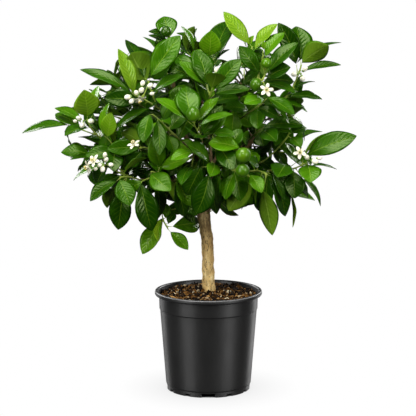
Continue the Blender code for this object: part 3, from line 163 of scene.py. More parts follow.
view = bpy.data.cameras.new("view")
view.lens, view.sensor_width, view.shift_x = LENS_MM, 36.0, EYE_SHIFT
camera = placed("camera", view)
camera.location, camera.rotation_euler = EYE.tolist(), (math.radians(90 - EYE_PITCH), 0.0, 0.0)
stage.camera = camera
stage.view_settings.view_transform = "Standard"

soft_light("left", (-1.5, -1.5, 0.9), 0.42, 0.6, 1.5, 24)
soft_light("right", (1.5, -1.5, 0.9), 0.42, 0.6, 1.5, 22)
soft_light("top", (-0.3, -0.9, 2.2), 0.45, 1.4, 1.2, 49)
soft_light("front", (0.1, -2.6, 1.9), 0.3, 0.8, 0.6, 17)
soft_light("back left", (-1.4, 1.9, 1.3), 0.45, 1.0, 1.0, 32)
soft_light("back right", (1.4, 1.9, 1.3), 0.45, 1.0, 1.0, 32)

# The backdrop shows white, and lights the plant only as much as the two fills say.
world = bpy.data.worlds.new("studio")
stage.world = world
world.use_nodes = True
wires = Wiring(world)
wires.shader.inputs["Color"].default_value = (1, 1, 1, 1)
way_in = wires.node("ShaderNodeTexCoord", output="Generated")
way_in = wires.node("ShaderNodeSeparateXYZ", {0: way_in}, output="Y")
fill = wires.node("ShaderNodeMapRange", {0: way_in, 1: -0.7, 2: 0.3, 3: FRONT_FILL, 4: BACK_FILL})
first_sight = wires.node("ShaderNodeLightPath", output="Is Camera Ray")
wires.join(wires.math("MAXIMUM", fill, first_sight), "Strength")

# The floor shines white, with a painted contact shadow that darkens the more the pot's foot closes over it,
# and throws no light back up.
bpy.ops.mesh.primitive_circle_add(vertices=96, radius=0.8, fill_type="NGON", location=(0, 0.1, 0))
floor = bpy.context.object
floor.name = "floor"
white_floor, wires = finish(
    "white floor", (0, 0, 0), 0.5, Specular_IOR_Level=0.0, Emission_Color=(1, 1, 1, 1))
nearby = wires.node("ShaderNodeAmbientOcclusion", {"Distance": 0.09}, output="AO")
floor_glow_and_shadow = wires.ramp(nearby, [(0.14, (0, 0, 0)), (0.44, [FLOOR_SHADE] * 3), (1.0, (1, 1, 1))])
wires.join(floor_glow_and_shadow, "Emission Strength")
floor.data.materials.append(white_floor)
floor.visible_diffuse = floor.visible_glossy = floor.visible_transmission = floor.visible_shadow = False


# The pot: thin black plastic in one piece, with a rolled lip, a stacking shoulder, a stepped foot, and wide
# slots and small notches cut in the foot for the water. Its corners go from the middle of the underside out,
# up, over the lip and down inside: radius, height and the reach of the bend, in mm.
POT_CORNERS = [
    (0.0, 0.0, 0), (74.4, 0.0, 0.8), (74.8, 9.2, 0.5), (76.0, 10.6, 0.8), (86.2, 144.2, 0.6),
    (87.4, 145.6, 0.8), (88.0, 169.6, 1.4), (94.0, 169.9, 1.4), (95.5, 172.0, 2.0), (95.2, 177.2, 1.7),
    (91.6, 178.0, 2.2), (89.3, 176.8, 2.0), (86.0, 166.5, 3.0), (84.2, 144.2, 3.0), (74.5, 18.0, 1.0),
    (71.0, 9.5, 1.0), (0.0, 9.5, 0),
]
POT_COLUMNS = 288
ROW_MM = 12.0
# Rows stand closer at the foot, where the slots and notches are cut.
FOOT_ROW_MM, FOOT_TOP, FOOT_INSIDE, FOOT_RADIUS = 0.9, 11, 60, 74.4
SLOT_COUNT, SLOT_HALF, SLOT_HEIGHT, SLOT_DEPTH = 4, 11.5, 6.5, 14.0
NOTCH_HALF, NOTCH_HEIGHT, NOTCH_TURN = 3.5, 3.5, math.radians(30)
# A painted highlight along the top outer edge of the lip: where it is brightest, as radius and height, and
# how far it reaches, in mm.
LIP_HIGHLIGHT_AT, LIP_HIGHLIGHT_REACH = (95.0, 176.9), (0.7, 0.6)
BLACK = (0, 0, 0, 1)


def turns(count, shift=0):
    return (np.arange(count) + shift) * math.tau / count


def grid_mesh(name, points, faces, *materials, smooth=True):
    """An object from an array of points and blocks of faces, each block an array of 3 or 4 columns."""
    mesh = bpy.data.meshes.new(name)
    mesh.from_pydata(np.asarray(points, float).tolist(), [], [f for block in faces for f in block.tolist()])
    if smooth:
        mesh.shade_smooth()
    for material in materials:
        mesh.materials.append(material)
    return placed(name, mesh)


def closed_skin(rings, first, last):
    """Skins over many bodies at once. rings is (bodies, rows, columns, 3) with each row a closed loop, and
    first and last are the points that close the two ends. A skin is its points and its blocks of faces."""
    bodies, rows, columns, _ = rings.shape
    block = rows * columns + 2
    points = np.concatenate([rings.reshape(bodies, -1, 3), first[:, None], last[:, None]], axis=1)
    row, here = np.meshgrid(np.arange(rows - 1) * columns, np.arange(columns), indexing="ij")
    after = (here + 1) % columns
    quads = np.stack([row + here, row + after, row + columns + after, row + columns + here], -1)
    here, after = here[0], after[0]
    foot = np.stack([after, here, np.full(columns, block - 2)], -1)
    top = np.stack([block - 2 - columns + here, block - 2 - columns + after, np.full(columns, block - 1)], -1)
    start = (np.arange(bodies) * block)[:, None, None]
    quads = (quads.reshape(1, -1, 4) + start).reshape(-1, 4)
    ends = (np.concatenate([foot, top])[None] + start).reshape(-1, 3)
    return points.reshape(-1, 3), [quads, ends]


def on_axis(z):
    return np.array([[0, 0, z / 1000]])


def set_values(piece, **values):
    """Put one number a point on a piece, by a name that its materials read."""
    for name, numbers in values.items():
        attribute = piece.data.attributes.new(name, "FLOAT", "POINT")
        attribute.data.foreach_set("value", np.asarray(numbers, np.float32).ravel())


def settle(piece, slot, *nodes):
    """Every piece rides on the one body and stands for the nodes it replaces. Its slot is not used."""
    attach(piece, "root")
    if nodes:
        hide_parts(*nodes)


def rounded(corners, steps=5):
    """A profile through corners: each becomes a short quadratic curve, and the straights are divided."""
    corners = np.array(corners, float)
    points = [corners[0, :2]]
    for before, corner, after in zip(corners, corners[1:], corners[2:]):
        here = corner[:2]
        into, out = before[:2] - here, after[:2] - here
        reach = min(corner[2], 0.45 * norm(into), 0.45 * norm(out))
        a, b = here + unit(into) * reach, here + unit(out) * reach
        t = np.linspace(0, 1, steps)[:, None]
        points += list(a * (1 - t) ** 2 + 2 * here * t * (1 - t) + b * t**2)
    points = np.array([*points, corners[-1, :2]])
    gaps = norm(np.diff(points, axis=0), axis=1)
    at_foot = (points[:-1, 1] < FOOT_TOP) & (points[1:, 1] < FOOT_TOP) & (points[:-1, 0] > FOOT_INSIDE)
    counts = np.maximum(1, np.ceil(gaps / np.where(at_foot, FOOT_ROW_MM, ROW_MM))).astype(int)
    parts = [a + (b - a) * (np.arange(c) / c)[:, None] for a, b, c in zip(points, points[1:], counts)]
    return np.concatenate([*parts, points[-1:]])


def smooth_step(x):
    x = np.clip(x, 0, 1)
    return x * x * (3 - 2 * x)


pot_profile = rounded(POT_CORNERS)
inner = pot_profile[1:-1]
angle = turns(POT_COLUMNS) - math.pi / 2
radius, height = np.repeat(inner.T[:, :, None], POT_COLUMNS, axis=2)


def cut_into(radius, turn, half, top):
    """How far openings round the foot draw its wall in, within a half width and under a height."""
    pitch = math.tau / SLOT_COUNT
    across = np.abs((angle + math.pi / 2 - turn + pitch / 2) % pitch - pitch / 2) * FOOT_RADIUS
    share = smooth_step(half + 0.5 - across)[None] * smooth_step((top + 0.4 - height) / 0.8)
    return share * np.clip(radius - (FOOT_RADIUS + 0.4 - SLOT_DEPTH), 0, SLOT_DEPTH)


outer = (np.arange(len(inner)) < np.argmax(inner[:, 0]))[:, None]
drawn = cut_into(radius, 0.0, SLOT_HALF, SLOT_HEIGHT)
for notch_turn in (-NOTCH_TURN, NOTCH_TURN):
    drawn = drawn + cut_into(radius, notch_turn, NOTCH_HALF, NOTCH_HEIGHT)
radius = radius - drawn * outer
pot_rings = np.stack([radius * np.cos(angle), radius * np.sin(angle), height], -1)[None] / 1000
points, faces = closed_skin(pot_rings, on_axis(pot_profile[0, 1]), on_axis(pot_profile[-1, 1]))
black_plastic, wires = finish("black plastic", (0.01, 0.01, 0.0098), 0.4, Specular_IOR_Level=0.5)
pot = grid_mesh("pot_shell", points, faces, black_plastic)
lip_highlight_share = np.repeat(np.exp(-(((inner - LIP_HIGHLIGHT_AT) / LIP_HIGHLIGHT_REACH) ** 2).sum(1)), POT_COLUMNS)
set_values(
    pot, cut=np.append((drawn * outer / SLOT_DEPTH).ravel(), (0, 0)), worn=np.append(lip_highlight_share, (0, 0)))
scuff = wires.spread(wires.noise(34, 4, (1, 1, 0.45)), 0.3, 0.75, 0.37, 0.45)
cut = wires.attribute("cut")
painted_slot_shade = wires.spread(cut, 0.1, 0.4)
plastic = wires.ramp(
    wires.noise(9, 5), [(0.3, (0.0095, 0.0095, 0.0093)), (0.75, (0.013, 0.013, 0.0127))])
# The top outer edge of the lip is painted lighter grey: a painted highlight.
plastic = wires.blend(wires.times(wires.attribute("worn"), 0.9), plastic, (0.3, 0.3, 0.3, 1))
# Inside the slots and notches the colour and the reflections are painted black: painted shade in the
# recesses.
wires.join(wires.blend(painted_slot_shade, plastic, BLACK))
wires.join(wires.blend(painted_slot_shade, (1, 1, 1, 1), BLACK), "Specular Tint")
wires.join(wires.math("ADD", scuff, cut, clamp=True), "Roughness")
wires.bump(wires.noise(900, 2), 0.00006)
settle(pot, "pot_plastic", "pot")

# Four low lights that fall on the pot alone give it its bands and edges.
pot_only = bpy.data.collections.new("pot only")
pot_only.objects.link(pot)
for name, x, y, power in (
        ("left", -1.6, -1.3, 7), ("right", 1.6, -1.3, 7), ("back left", -1.5, 1.8, 3.4),
        ("back right", 1.5, 1.8, 5)):
    low_light = soft_light(f"low {name}", (x, y, -0.5), 0.09, 0.9, 0.9, power)
    low_light.light_linking.receiver_collection = pot_only


# The compost: dark bark and peat, loose on top, mounded a little at the trunk, with bark chips, some fresher
# and orange, and a few pale grains. One bed with its lumps, and loose bits lying on it.
BED_RADIUS, BED_TOP, BED_FOOT, BED_TAPER = 86.0, 170.0, 155.0, 0.965
BED_ROWS, BED_COLUMNS = 64, 220
MOUND_HEIGHT, MOUND_REACH, TRUNK_AT = 5.0, 34.0, (0.0, 8.0)
BIT_COUNT, BIT_SIDES, TRUNK_CLEAR = 3000, 5, 13


def lumps(points, size, seed, waves=14):
    """Smooth unevenness of about one size, mostly from -1 to 1: sine waves in seeded directions, added up."""
    draw = np.random.default_rng(seed)
    way = draw.normal(size=(waves, points.shape[-1]))
    way *= (draw.uniform(0.6, 1.5, waves) / norm(way, axis=1) * math.tau / size)[:, None]
    return np.sin(points @ way.T + draw.uniform(0, math.tau, waves)).sum(-1) / math.sqrt(waves)


def bed_height(x, y):
    """The compost's surface in mm: level, raised towards the trunk, with lumps of three sizes."""
    reach = np.hypot(x - TRUNK_AT[0], y - TRUNK_AT[1])
    place = np.stack([x, y], -1)
    rough = 1.1 * lumps(place, 26.0, 3) + 0.8 * lumps(place, 9.0, 4) + 0.4 * lumps(place, 4.0, 5)
    rough = rough * np.clip((88 - np.hypot(x, y)) / 10, 0.3, 1)
    return BED_TOP + MOUND_HEIGHT * np.exp(-((reach / MOUND_REACH) ** 2)) + rough


turn, reach = turns(BED_COLUMNS), np.linspace(BED_RADIUS, 2.0, BED_ROWS)[:, None]
bed_x, bed_y = reach * np.cos(turn), reach * np.sin(turn)
bed_top = np.stack([bed_x, bed_y, bed_height(bed_x, bed_y)], -1)
bed_side = bed_top[0] * (BED_TAPER, BED_TAPER, 0) + (0, 0, BED_FOOT)
bed_middle = bed_height(np.array(0.0), np.array(0.0))
points, faces = closed_skin(
    np.concatenate([bed_side[None], bed_top])[None] / 1000, on_axis(BED_FOOT), on_axis(bed_middle))
dark_peat, wires = finish("dark peat", (0.02, 0.011, 0.006), 0.95, Specular_IOR_Level=0.12)
wires.join(wires.ramp(wires.noise(260, 6), [
    (0.35, (0.003, 0.0015, 0.001)), (0.55, (0.012, 0.006, 0.0025)), (0.75, (0.055, 0.028, 0.009))]))
wires.bump(wires.noise(700, 6, roughness=0.7), 0.0012)
settle(grid_mesh("compost_bed", points, faces, dark_peat), "compost", "soil")

# Each bit is a stubby body of two rings and two tips, uneven, stretched and turned by chance.
draw = np.random.default_rng(21)
bit_reach = (BED_RADIUS - 2.5) * np.sqrt(draw.uniform(0, 1, BIT_COUNT))
bit_turn = draw.uniform(0, math.tau, BIT_COUNT)
bit_at = (bit_reach * (np.cos(bit_turn), np.sin(bit_turn))).T
bit_at = bit_at[norm(bit_at - TRUNK_AT, axis=1) > TRUNK_CLEAR]
count = len(bit_at)
bit_size = draw.gamma(4.0, 0.34, count)[:, None] * draw.uniform(0.5, 1.3, (count, 3)) + 0.3
bit_size[:, 0] *= draw.uniform(1.0, 2.4, count)
bit_axes = np.linalg.qr(draw.normal(size=(count, 3, 3)) + np.diag([0.0, 0.0, 2.0]))[0]
turn = turns(BIT_SIDES)
bit_rings = [
    np.stack([np.cos(turn + shift), np.sin(turn + shift), np.full(BIT_SIDES, level)], -1)
    for shift, level in ((0, -0.45), (math.pi / BIT_SIDES, 0.45))]
bit_shape = np.concatenate([*bit_rings, [[0, 0, -1.05], [0, 0, 1.05]]])[None]
bit_corners = bit_shape.shape[1]
bit_shape = bit_shape * draw.uniform(0.72, 1.28, (count, bit_corners, 1)) * bit_size[:, None]
bit_points = np.einsum("nij,nkj->nki", bit_axes, bit_shape)
bit_z = bed_height(*bit_at.T) + 0.3 * bit_size.min(1)
bit_points += np.column_stack([bit_at, bit_z])[:, None]
bit_points /= 1000
points, faces = closed_skin(
    bit_points[:, :-2].reshape(count, 2, BIT_SIDES, 3), bit_points[:, -2], bit_points[:, -1])
bark_bits, wires = finish("bark bits", (0.05, 0.025, 0.01), 0.9, Specular_IOR_Level=0.15)
bits = grid_mesh("compost_bits", points, faces, bark_bits, smooth=False)
set_values(bits, kind=np.repeat(draw.uniform(0, 1, count), bit_corners))
kind_colour = wires.ramp(wires.attribute("kind"), [
    (0.0, (0.002, 0.001, 0.0007)), (0.36, (0.012, 0.006, 0.002)), (0.58, (0.085, 0.038, 0.008)),
    (0.80, (0.27, 0.12, 0.024)), (0.93, (0.5, 0.27, 0.08)), (0.97, (0.85, 0.73, 0.48))])
speck = wires.spread(wires.noise(420, 4), 0.3, 0.7, 0.55, 1.0)
wires.join(wires.blend(speck, (0.004, 0.002, 0.001, 1), kind_colour))
wires.bump(wires.noise(900, 4), 0.0004)
settle(bits, "compost")


# The trunk, limbs and branchlets: one woody body with tan bark in long dark streaks, browner where it forks.
# The frame's own solid is remeshed finely and smoothed, and its surface raised and sunk along the grain.
BARK_CELL, BARK_SMOOTHINGS = 0.0013, 14
BARE_FROM = 0.163


def gathered(rows, name, kind=np.int64):
    """One property of a mesh's points, corners or faces, as a long array."""
    values = np.zeros(len(rows) * np.size(getattr(rows[0], name)), kind)
    rows.foreach_get(name, values)
    return values


def welded(node):
    """A frame node's loose triangles as shared points and faces, in metres."""
    mesh = frame["nodes"][node].data
    points = gathered(mesh.vertices, "co", float).reshape(-1, 3)
    mesh.calc_loop_triangles()
    keys = np.round(points / 2e-6).astype(np.int64)
    _, first, index = np.unique(keys, axis=0, return_index=True, return_inverse=True)
    faces = index.reshape(-1)[gathered(mesh.loop_triangles, "vertices")].reshape(-1, 3)
    return points[first], faces[(faces != np.roll(faces, -1, axis=1)).all(1)]


def shaped(points, faces, kind, **settings):
    """A mesh run through one modifier, given back as points and a list of faces."""
    piece = grid_mesh("shaping", points, [faces])
    change = piece.modifiers.new("shaping", kind)
    for key, value in settings.items():
        setattr(change, key, value)
    bpy.context.view_layer.update()
    mesh = bpy.data.meshes.new_from_object(piece.evaluated_get(bpy.context.evaluated_depsgraph_get()))
    made = gathered(mesh.vertices, "co", float).reshape(-1, 3)
    corners, totals = gathered(mesh.loops, "vertex_index"), gathered(mesh.polygons, "loop_total")
    starts = np.concatenate([[0], np.cumsum(totals)[:-1]])
    blocks = [corners[starts[totals == n][:, None] + np.arange(n)] for n in np.unique(totals)]
    bpy.data.objects.remove(piece)
    bpy.data.meshes.remove(mesh)
    return made, blocks


def eased(points, blocks, rounds):
    """Even out a mesh without shrinking it: each point goes towards its neighbours' mean, then back."""
    here, there = np.concatenate([
        np.stack([b[:, k], np.roll(b, -1, axis=1)[:, k]]) for b in blocks for k in range(b.shape[1])], axis=1)
    total = np.bincount(here, minlength=len(points))
    for step in (0.5, -0.52) * rounds:
        mean = np.stack([np.bincount(here, points[there, a], len(points)) for a in range(3)], -1)
        points = points + step * (mean / total[:, None] - points)
    return points


def outward(points, blocks):
    """The unit normal at each point, from the faces round it."""
    normals = np.zeros_like(points)
    for b in blocks:
        one, two, three = points[b[:, :3].T]
        face = np.cross(two - one, three - one)
        for k in range(b.shape[1]):
            for a in range(3):
                normals[:, a] += np.bincount(b[:, k], face[:, a], len(points))
    return normals / np.maximum(norm(normals, axis=1), 1e-12)[:, None]


wood_points, wood_blocks = shaped(*welded("trunk"), "REMESH", mode="VOXEL", voxel_size=BARK_CELL)
wood_points = eased(wood_points, wood_blocks, BARK_SMOOTHINGS)
wood_mm = wood_points * 1000
relief = (
    0.18 * lumps(wood_mm * (1, 1, 0.16), 9.0, 31) + 0.22 * lumps(wood_mm, 6.0, 32)
    + 0.55 * lumps(wood_mm, 17.0, 33))
# The relief is full on the trunk and fades in the limbs, and the foot in the compost stays plain.
stout = np.clip((335 - wood_mm[:, 2]) / 30, 0.25, 1)
above = wood_points[:, 2] > BARE_FROM
wood_points = wood_points + outward(wood_points, wood_blocks) * (relief * stout * above)[:, None] / 1000
tan_bark, wires = finish("tan bark", (0.38, 0.24, 0.09), 0.8)
wood = grid_mesh("trunk_bark", wood_points, wood_blocks, tan_bark)
set_values(wood, groove=np.clip(0.5 - 0.4 * relief, 0, 1))
streak = wires.noise(130, 5, (1, 1, 0.22), 0.6)
patch = wires.spread(wires.noise(55, 4, (1, 1, 0.6)), 0.52, 0.75, 0.0, 0.5)
fleck = wires.spread(wires.noise(330, 3, (1, 1, 0.4), 0.7), 0.55, 0.62, 0.0, 0.85)
groove = wires.spread(wires.attribute("groove"), 0.6, 1.0, 0.0, 0.4)
bark = wires.ramp(streak, [
    (0.30, (0.34, 0.20, 0.065)), (0.42, (0.60, 0.38, 0.13)), (0.55, (0.78, 0.55, 0.21)),
    (0.72, (0.92, 0.74, 0.38))])
bark = wires.blend(patch, bark, (0.46, 0.26, 0.08, 1))
bark = wires.blend(fleck, bark, (0.11, 0.065, 0.025, 1))
# The bark is darker where its relief is sunk.
bark = wires.blend(groove, bark, (0.2, 0.12, 0.04, 1))
# Up where it forks the bark is darker in streaks, and the limbs above are plain brown.
rise = wires.node("ShaderNodeSeparateXYZ", {0: wires.place()}, output=2)
upper_dark_streaks = wires.times(wires.spread(rise, 0.255, 0.31), wires.spread(streak, 0.62, 0.42, 0.35, 0.95))
bark = wires.blend(upper_dark_streaks, bark, (0.13, 0.085, 0.035, 1))
limbs = wires.blend(
    wires.spread(wires.noise(70), 0.35, 0.65), (0.12, 0.085, 0.03, 1), (0.2, 0.125, 0.045, 1))
wires.join(wires.blend(wires.spread(rise, 0.315, 0.36), bark, limbs))
wires.bump(wires.plus(streak, wires.noise(600, 4, (1, 1, 0.3))), 0.0009)
settle(wood, "bark", "trunk")


# The leafy shoots: green stems with short-stalked oval leaves, folded along a pale rib, glossy above and dull
# olive below. Each blade takes its place, size and way from its solid in the frame.
CROWN_AT = np.array([0.0, 0.01, 0.485])
LEAF_ROWS, LEAF_COLUMNS = 15, 9
LEAF_FOLD, LEAF_ARCH, LEAF_THICKNESS = 0.22, 0.09, 0.0004
# How far along a leaf its solid's rings stand, for solids of three rings and of two, and the widths that tell
# a leaf's rings from its stalk.
STATIONS = {3: (0.2, 0.5, 0.8), 2: (0.28, 0.66)}
BLADE_OVER, STALK_UNDER = 0.0028, 0.0027
PLAIN_TONE = 0.47
# How far from the middle of the crown the stems stay painted dark, as painted shade, and over how far that
# fades, in metres.
STEM_SHADE_REACH, STEM_SHADE_FADE = 0.095, 0.05
# How far back the front and the middle of the crown go, in metres, and how near a leaf comes to its place in
# the tables below as the eye sees it, in mm.
FRONT_UNTIL, MIDDLE_UNTIL = 0.02, 0.03
TONES_WITHIN, TURNED_WITHIN = 9, 4

# Leaves that stand out in the photograph: where the eye sees their tips, as x and z in mm on the plane
# through the trunk, and their tone, from 0, old and dark, to 1, young and yellow. A tone is partly the leaf's
# own colour and partly painted light and shade: leaves in shade are set darker, and lit leaves brighter.
TONES = np.array([
    (-217, 534, 0.92), (-192, 541, 0.7), (-269, 502, 0.3), (-170, 494, 0.88), (-173, 512, 0.7),
    (-197, 365, 0.3), (-138, 329, 0.7), (-160, 286, 0.33), (-100, 284, 0.3), (-66, 356, 0.66),
    (-100, 450, 0.6), (-88, 307, 0.15), (-117, 242, 0.6), (-14, 298, 0.35), (-59, 316, 0.3),
    (-38, 348, 0.35), (14, 314, 0.3), (-32, 329, 0.6), (-42, 309, 0.3), (-66, 410, 0.66),
    (94, 352, 0.6), (92, 318, 0.3), (133, 336, 0.33), (136, 310, 0.3), (152, 342, 0.35),
    (180, 370, 0.72), (260, 453, 0.5), (97, 435, 0.3), (166, 471, 0.35), (152, 644, 0.4),
    (98, 586, 0.3), (143, 573, 0.3), (149, 548, 0.3), (99, 617, 0.8), (26, 669, 0.97),
    (120, 648, 0.97), (79, 628, 0.9), (28, 656, 0.62), (5, 637, 0.7), (-24, 644, 0.4),
    (-47, 644, 0.62), (13, 563, 0.55), (-93, 518, 0.66), (18, 520, 0.66), (43, 491, 0.6),
    (-24, 450, 0.3), (-106, 461, 0.66), (-115, 441, 0.72), (-157, 605, 0.95), (-144, 621, 0.3),
    (-67, 544, 0.6), (-181, 519, 0.3), (-176, 487, 0.3), (-104, 635, 0.3), (0, 440, 0.8),
    (62, 509, 0.76), (123, 485, 0.3), (-156, 452, 0.6), (-77, 661, 0.5), (46, 455, 0.6),
])

# Leaves that differ in the photograph from their solids: x and z of the blade's middle as above, the
# share of the width, how far the upper side turns to the eye, how many mm nearer the tip comes, and the
# tone, or -1 where the table above holds.
TURNED = np.array([
    (-181, 550, 0.66, 0, 0, 0.4), (-128, 588, 1, 0, -28, -1), (-121, 574, 1.45, 0, 20, 0.5),
    (-214, 511, 1.05, 0.6, 0, -1), (-151, 517, 1.15, 0.9, 0, 0.25), (-109, 466, 1.1, 0, 0, 0.46),
    (137, 615, 1, 0.7, 18, 0.24), (186, 596, 1.15, 0, 0, 0.58), (197, 572, 0.8, 0, 0, 0.36),
    (4, 615, 1, 0.9, 0, 0.74), (31, 613, 1, 0, 0, 0.36), (24, 621, 1, 0, 0, 0.36),
    (79, 513, 1.1, 0, 0, 0.6), (27, 436, 1.3, 0, 0, 0.66), (178, 386, 1, 0.5, 0, 0.58),
    (217, 436, 1, 0, 0, 0.44), (-147, 352, 0.92, 0, 0, 0.44), (-84, 371, 1, 0, 0, 0.54),
    (-39, 295, 1.1, 0, 0, 0.56), (-52, 266, 1, 0, 0, 0.62), (-101, 271, 1, 0, 0, 0.74),
    (-85, 286, 1.3, 0, 22, 0.8), (55, 344, 1.1, 0, 18, 0.62), (-11, 350, 1, 0, 0, 0.3),
    (146, 322, 0.8, 0, 0, 0.8), (105, 316, 0.95, 0, 0, 0.5), (84, 607, 1, 0, 0, 0.5),
    (32, 412, 1, 0, 0, 0.32), (27, 456, 1, 0, 0, 0.5), (-88, 448, 1, 0, 0, 0.36),
])


def parted(rows):
    """Rows of mixed things as one array for each column."""
    return [np.array(column) for column in zip(*rows)]


def apart(a, b):
    """How far each of some places is from each of others."""
    return norm(a[:, None] - b[None], axis=-1)


def seen_from_eye(points):
    """Where the eye sees points, as x and z in mm on the upright plane through the trunk."""
    share = -EYE[1] / (points[..., 1] - EYE[1])
    return np.stack([points[..., 0] * share, EYE[2] + (points[..., 2] - EYE[2]) * share], -1) * 1000


def joined_points(points, faces):
    """Which points of a mesh share an edge, as a square table of yes and no."""
    joined = np.zeros((len(points), len(points)), bool)
    for a, b in zip(faces.T, np.roll(faces, 1, axis=1).T):
        joined[a, b] = joined[b, a] = True
    return joined


def loops_from(points, joined, tip, size, most=6):
    """Loops of so many points, met one by one on the way down a solid from one of its tips: their points'
    numbers, their middles and their widths."""
    met = np.zeros(len(points), bool)
    met[tip] = True
    front, loops = met.copy(), []
    for _ in range(most):
        front = joined[front].any(0) & ~met
        if front.sum() != size:
            break
        met |= front
        loops.append(np.flatnonzero(front))
    rings = [points[loop] for loop in loops]
    return loops, [ring.mean(0) for ring in rings], [apart(ring, ring).max() for ring in rings]


def outline(v):
    """Half the blade's width at v, as a share: full past the middle, drawn in to the foot and the tip."""
    return np.sin(math.pi * np.clip(v, 0, 1) ** 1.06) ** 0.8


def read_leaves(points, faces):
    """The leaves of a shoot's solid, each as foot, tip, normal and width, and the faces of its stems."""
    joined = joined_points(points, faces)
    leaves, gone, caps = [], np.zeros(len(points), bool), []
    for tip in np.flatnonzero(joined.sum(1) == 3):
        loops, middles, widths = loops_from(points, joined, tip, 3)
        count = next((k for k, w in enumerate(widths) if w < STALK_UNDER), 0)
        if count not in STATIONS or min(widths[:count]) < BLADE_OVER:
            continue
        loops, cap, foot = loops[:count], loops[count], middles[count]
        sides, lifts = [], []
        for loop, v in zip(loops, reversed(STATIONS[count])):
            ring = points[loop]
            a, b = np.unravel_index(np.argmax(apart(ring, ring)), (3, 3))
            side = (ring[a] - ring[b]) / outline(v)
            sides.append(side if not sides or side @ sides[0] > 0 else -side)
            lifts.append((ring[a] + ring[b]) / 2 - ring[3 - a - b])
        side, along = np.mean(sides, axis=0), points[tip] - foot
        normal = np.cross(along, side)
        normal *= np.sign(normal @ np.mean(lifts, axis=0)) / norm(normal)
        leaves.append((foot, points[tip], normal, norm(side)))
        gone[[tip, *np.concatenate(loops)]] = True
        caps.append(cap)
    kept = faces[~gone[faces].any(1)]
    capped = []
    for a, b, c in caps:
        # The cap faces the other way round from the stalk's last row of faces.
        edge = ((kept == a) & (np.roll(kept, -1, axis=1) == b)).any()
        capped.append((b, a, c) if edge else (a, b, c))
    return leaves, np.concatenate([kept, np.array(capped).reshape(-1, 3)])


def as_seen(leaf):
    """A leaf with its width, facing and tip changed as TURNED says, and its tone, or -1 for none."""
    foot, tip, normal, width = leaf
    gaps = norm(TURNED[:, :2] - (seen_from_eye(tip) + seen_from_eye(foot)) / 2, axis=1)
    if gaps.min() > TURNED_WITHIN or tip[1] > MIDDLE_UNTIL:
        return *leaf, -1
    _, _, share, facing, nearer, tone = TURNED[gaps.argmin()]
    to_eye = unit(EYE - tip)
    tip = tip + to_eye * nearer / 1000
    along = unit(tip - foot)
    normal = normal * (1 - facing) + to_eye * facing
    return foot, tip, unit(normal - along * (normal @ along)), width * share, tone


def leaf_tones(leaves, draw):
    """Each leaf's tone: its own, or the one in TONES that is near its tip, or else one by chance."""
    _, tips, _, _, own = parted(leaves)
    gaps = apart(seen_from_eye(tips), TONES[:, :2])
    by_chance = np.clip(PLAIN_TONE + draw.normal(0, 0.07, len(tips)), 0.2, 0.75)
    read = (gaps.min(1) < TONES_WITHIN) & (tips[:, 1] < FRONT_UNTIL)
    return np.where(own >= 0, own, np.where(read, TONES[gaps.argmin(1), 2], by_chance))


def round_about(columns):
    """A flat body's columns, over its upper side and back below: from -1 to 1 across, and whether below."""
    u = np.concatenate([np.linspace(-1, 1, columns), np.linspace(1, -1, columns)[1:-1]])
    return u, np.concatenate([np.zeros(columns), np.ones(columns - 2)])


def flat_skin(foot, tip, normal, side, v, across, rise, ends):
    """Skins over flat bodies: each point at v from foot to tip, so far sideways and so far up the normal."""
    rings = (
        foot[:, None, None] + (tip - foot)[:, None, None] * v[..., None]
        + side[:, None, None] * across[..., None] + normal[:, None, None] * rise[..., None])
    points, faces = closed_skin(rings, *ends)
    return points, [block[:, ::-1] for block in faces]


def blades(leaves, tones, draw, rows=LEAF_ROWS, columns=LEAF_COLUMNS):
    """Fine blades for some leaves. v goes along and u across. Each blade runs straight from foot to tip,
    raised by its arch, 4 a L v (1 - v), by its fold, which grows with |u|, and by a wave of its edge, and it
    droops a little. Returns points, faces and, for each point, u, v, whether it is below, and the tone."""
    each = (len(leaves), 1, 1)
    foot, tip, normal, width, *_ = parted(leaves)
    width, tones = width.reshape(each), np.reshape(tones, each)
    length, along = norm(tip - foot, axis=1).reshape(each), unit(tip - foot)
    v = (0.5 - 0.5 * np.cos(math.pi * np.linspace(0, 1, rows + 2)[1:-1]))[:, None]
    u, under = round_about(columns)
    half = 0.5 * width * outline(v)
    wave = draw.uniform(0.15, 0.9, each) * 0.001
    beats, shift = draw.uniform(1.2, 2.6, each), draw.uniform(0, math.tau, (2, *each))
    ripple = wave * np.sin(math.tau * beats * v + np.where(u > 0, shift[0], shift[1])) * u**2
    fold = LEAF_FOLD * draw.uniform(0.75, 1.2, each) * half * np.abs(u) ** 1.25
    droop = -draw.uniform(0.0, 0.05, each) * length * (v**3 * (1 - v) * 4)
    arch = 4 * LEAF_ARCH * length * (v * (1 - v))
    rib = np.exp(-((u / 0.09) ** 2)) * (1 - 0.75 * v)
    ridge = np.where(under > 0, -0.0006 * rib, -0.00022 * rib)
    rise = arch + droop + fold + ripple * np.sin(math.pi * v) - LEAF_THICKNESS * under + ridge
    bend = draw.normal(0, 0.025, each) * length * (v * (1 - v) * 4)
    points, faces = flat_skin(
        foot, tip, normal, np.cross(normal, along), v, half * u + bend, rise, (foot - along * 0.0012, tip))
    grid = np.concatenate([
        np.stack(np.broadcast_arrays(*numbers), -1).reshape(len(leaves), -1, 4)
        for numbers in ((u, v, under, tones), (0, np.arange(2), 0.5, tones))], axis=1)
    return points, faces, grid.reshape(-1, 4)


glossy_leaf, wires = finish(
    "glossy leaf", (0.05, 0.15, 0.004), 0.25, Specular_IOR_Level=0.36, Specular_Tint=(0.8, 1.0, 0.42, 1))
tone, across, along, beneath = map(wires.attribute, ("tone", "across", "along", "under"))
away = wires.math("ABSOLUTE", across)
mottle = wires.noise(55, 3)
shade = wires.plus(tone, wires.spread(mottle, 0.25, 0.75, -0.06, 0.06))
